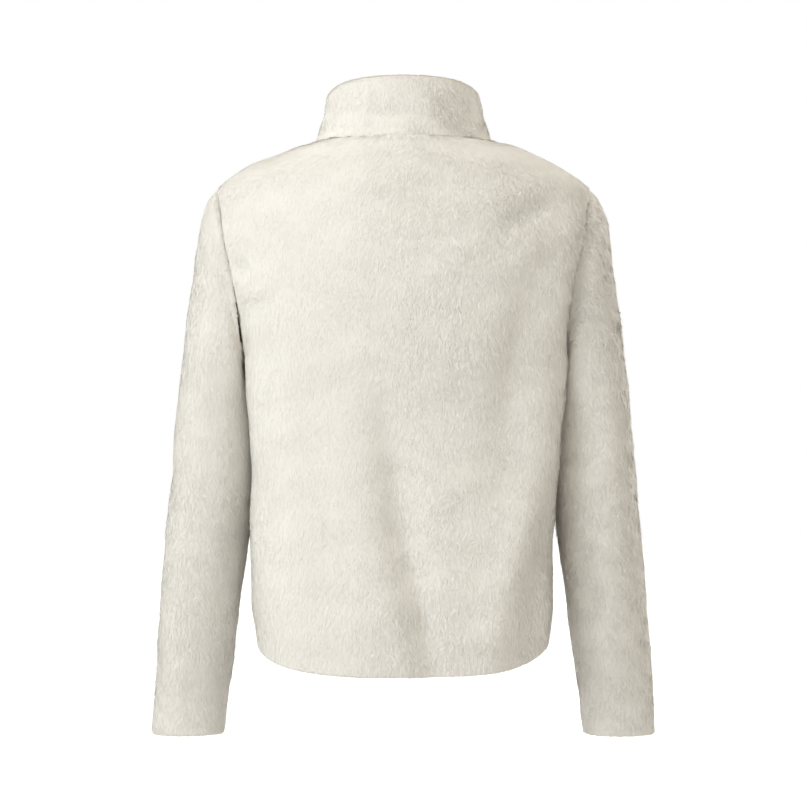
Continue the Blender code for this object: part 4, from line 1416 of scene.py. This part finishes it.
# ---------------- stage
CAMERA_DISTANCE = 2.4
CAMERA_HEIGHT = -0.316
CAMERA_LENS = 89.2
FLOOR_Z = -0.95
FLOOR_SIZE = 14
FLOOR_GREY = (0.55, 0.55, 0.55, 1.0)
WHITE = (1, 1, 1, 1)
WORLD_LIGHT = (1.0, 0.948, 0.845, 1.0)
WORLD_BELOW = 0.60      # the studio's light from straight below and straight above
WORLD_ABOVE = 0.72
LIT_MIDDLE = (0.0, 0.0, -0.3)
# round lights: name, place, size, power and colour
LIGHTS = (
    ("key", (2.2, 2.0, 0.5), 1.8, 41, (0.90, 0.96, 1.0)),
    ("fill", (-0.4, 3.0, 0.2), 1.6, 7, (1.0, 0.98, 0.95)),
    ("top", (0.0, 0.3, 2.4), 1.6, 8, WHITE[:3]),
    ("front_key", (-2.0, -2.0, 0.7), 1.4, 42, WHITE[:3]),
    ("front_fill", (2.1, -1.9, 0.0), 2.2, 18, WHITE[:3]),
)


def placed(made, place, target):
    """Puts a light or a camera at a place and aims it."""
    made.location = place
    direction = Vector(target) - made.location
    made.rotation_euler = direction.to_track_quat("-Z", "Y").to_euler()
    return made


def white_to_camera(nodes, lighting):
    """A strength of 1 where the camera sees it, and this one for all it lights."""
    seen = nodes.add("ShaderNodeLightPath").outputs["Is Camera Ray"]
    missing = nodes.math("SUBTRACT", 1.0, lighting)
    return nodes.plus(lighting, nodes.times(seen, missing))


def make_stage():
    scene = bpy.context.scene
    scene.view_settings.view_transform = "Standard"
    data = bpy.data.cameras.new("camera")
    data.lens = CAMERA_LENS
    scene.camera = placed(linked("camera", data), (0.0, CAMERA_DISTANCE, CAMERA_HEIGHT),
                          (0.0, 0.0, CAMERA_HEIGHT))
    for name, place, size, power, color in LIGHTS:
        data = bpy.data.lights.new(name, "AREA")
        data.shape = "DISK"
        data.size = size
        data.energy = power
        data.color = color
        placed(linked(name, data), place, LIT_MIDDLE)

    world = bpy.data.worlds.new("studio")
    world.use_nodes = True
    scene.world = world
    nodes = Nodes(world.node_tree)
    background = world.node_tree.nodes["Background"]
    seen = nodes.add("ShaderNodeLightPath").outputs["Is Camera Ray"]
    tint = nodes.add("ShaderNodeMix", {"Factor": seen, "A": WORLD_LIGHT, "B": WHITE},
                     data_type="RGBA")
    nodes.tree.links.new(shown(tint.outputs, "Result"), background.inputs["Color"])
    way = nodes.add("ShaderNodeTexCoord").outputs["Generated"]
    height = nodes.add("ShaderNodeSeparateXYZ", [way]).outputs[2]
    lighting = nodes.spread(height, -1.0, 1.0, WORLD_BELOW, WORLD_ABOVE)
    nodes.tree.links.new(white_to_camera(nodes, lighting), background.inputs["Strength"])

    bpy.ops.mesh.primitive_plane_add(size=FLOOR_SIZE, location=(0, 0, FLOOR_Z))
    floor = bpy.context.object
    floor.name = "floor"
    pale = Finish("pale_floor", FLOOR_GREY, 0.9, Emission_Color=WHITE)
    pale.drive("Emission Strength", white_to_camera(pale, 0.0))
    floor.data.materials.append(pale.material)


# ---------------- the jacket
STRANDS = {"back": 612000.0, "front_left": 560000.0, "front_right": 560000.0,
           "sleeve_left": 640000.0, "sleeve_right": 640000.0, "collar": 700000.0}


def make_cloth(tone, yarns):
    panels = make_panels()
    normals = shape_panels(panels)
    ground = cloth_material(tone)
    knit = knit_material(yarns)
    pile_finish = pile_material()
    tree = pile_tree()
    strand = strand_shape()
    for number, (name, panel) in enumerate(panels.items()):
        cloth = cloth_wall(panel, normals[name], ground, knit)
        pile = apply_tree(cloth, tree, name + "_pile", Strands=STRANDS[name], Seed=number + 1,
                          Strand=strand, Finish=pile_finish)
        width = panel.steps(1)[:, -1].max() * MM
        if panel.closed:
            width += np.linalg.norm(panel.grid[:, 0] - panel.grid[:, -1], axis=1).max() * MM
        length = panel.steps(0)[-1].max() * MM
        for made in (cloth, pile):
            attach(made, "garment")
            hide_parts(name)
    bpy.data.objects.remove(strand)
    return panels, normals


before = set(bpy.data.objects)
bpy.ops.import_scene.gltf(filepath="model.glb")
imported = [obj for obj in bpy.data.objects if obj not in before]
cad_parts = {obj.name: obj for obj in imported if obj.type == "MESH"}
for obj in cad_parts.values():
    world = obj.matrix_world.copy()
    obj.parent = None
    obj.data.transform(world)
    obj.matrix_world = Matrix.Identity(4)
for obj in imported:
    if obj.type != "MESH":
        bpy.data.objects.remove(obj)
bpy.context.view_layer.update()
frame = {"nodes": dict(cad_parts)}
tone = uneven_tone_effect()
yarns = yarns_effect()
panels, normals = make_cloth(tone, yarns)
row = row_tree()
make_zip(frame["nodes"], row, tone, yarns)
make_stitches(panels, normals, frame["nodes"], row, tone)
make_stage()
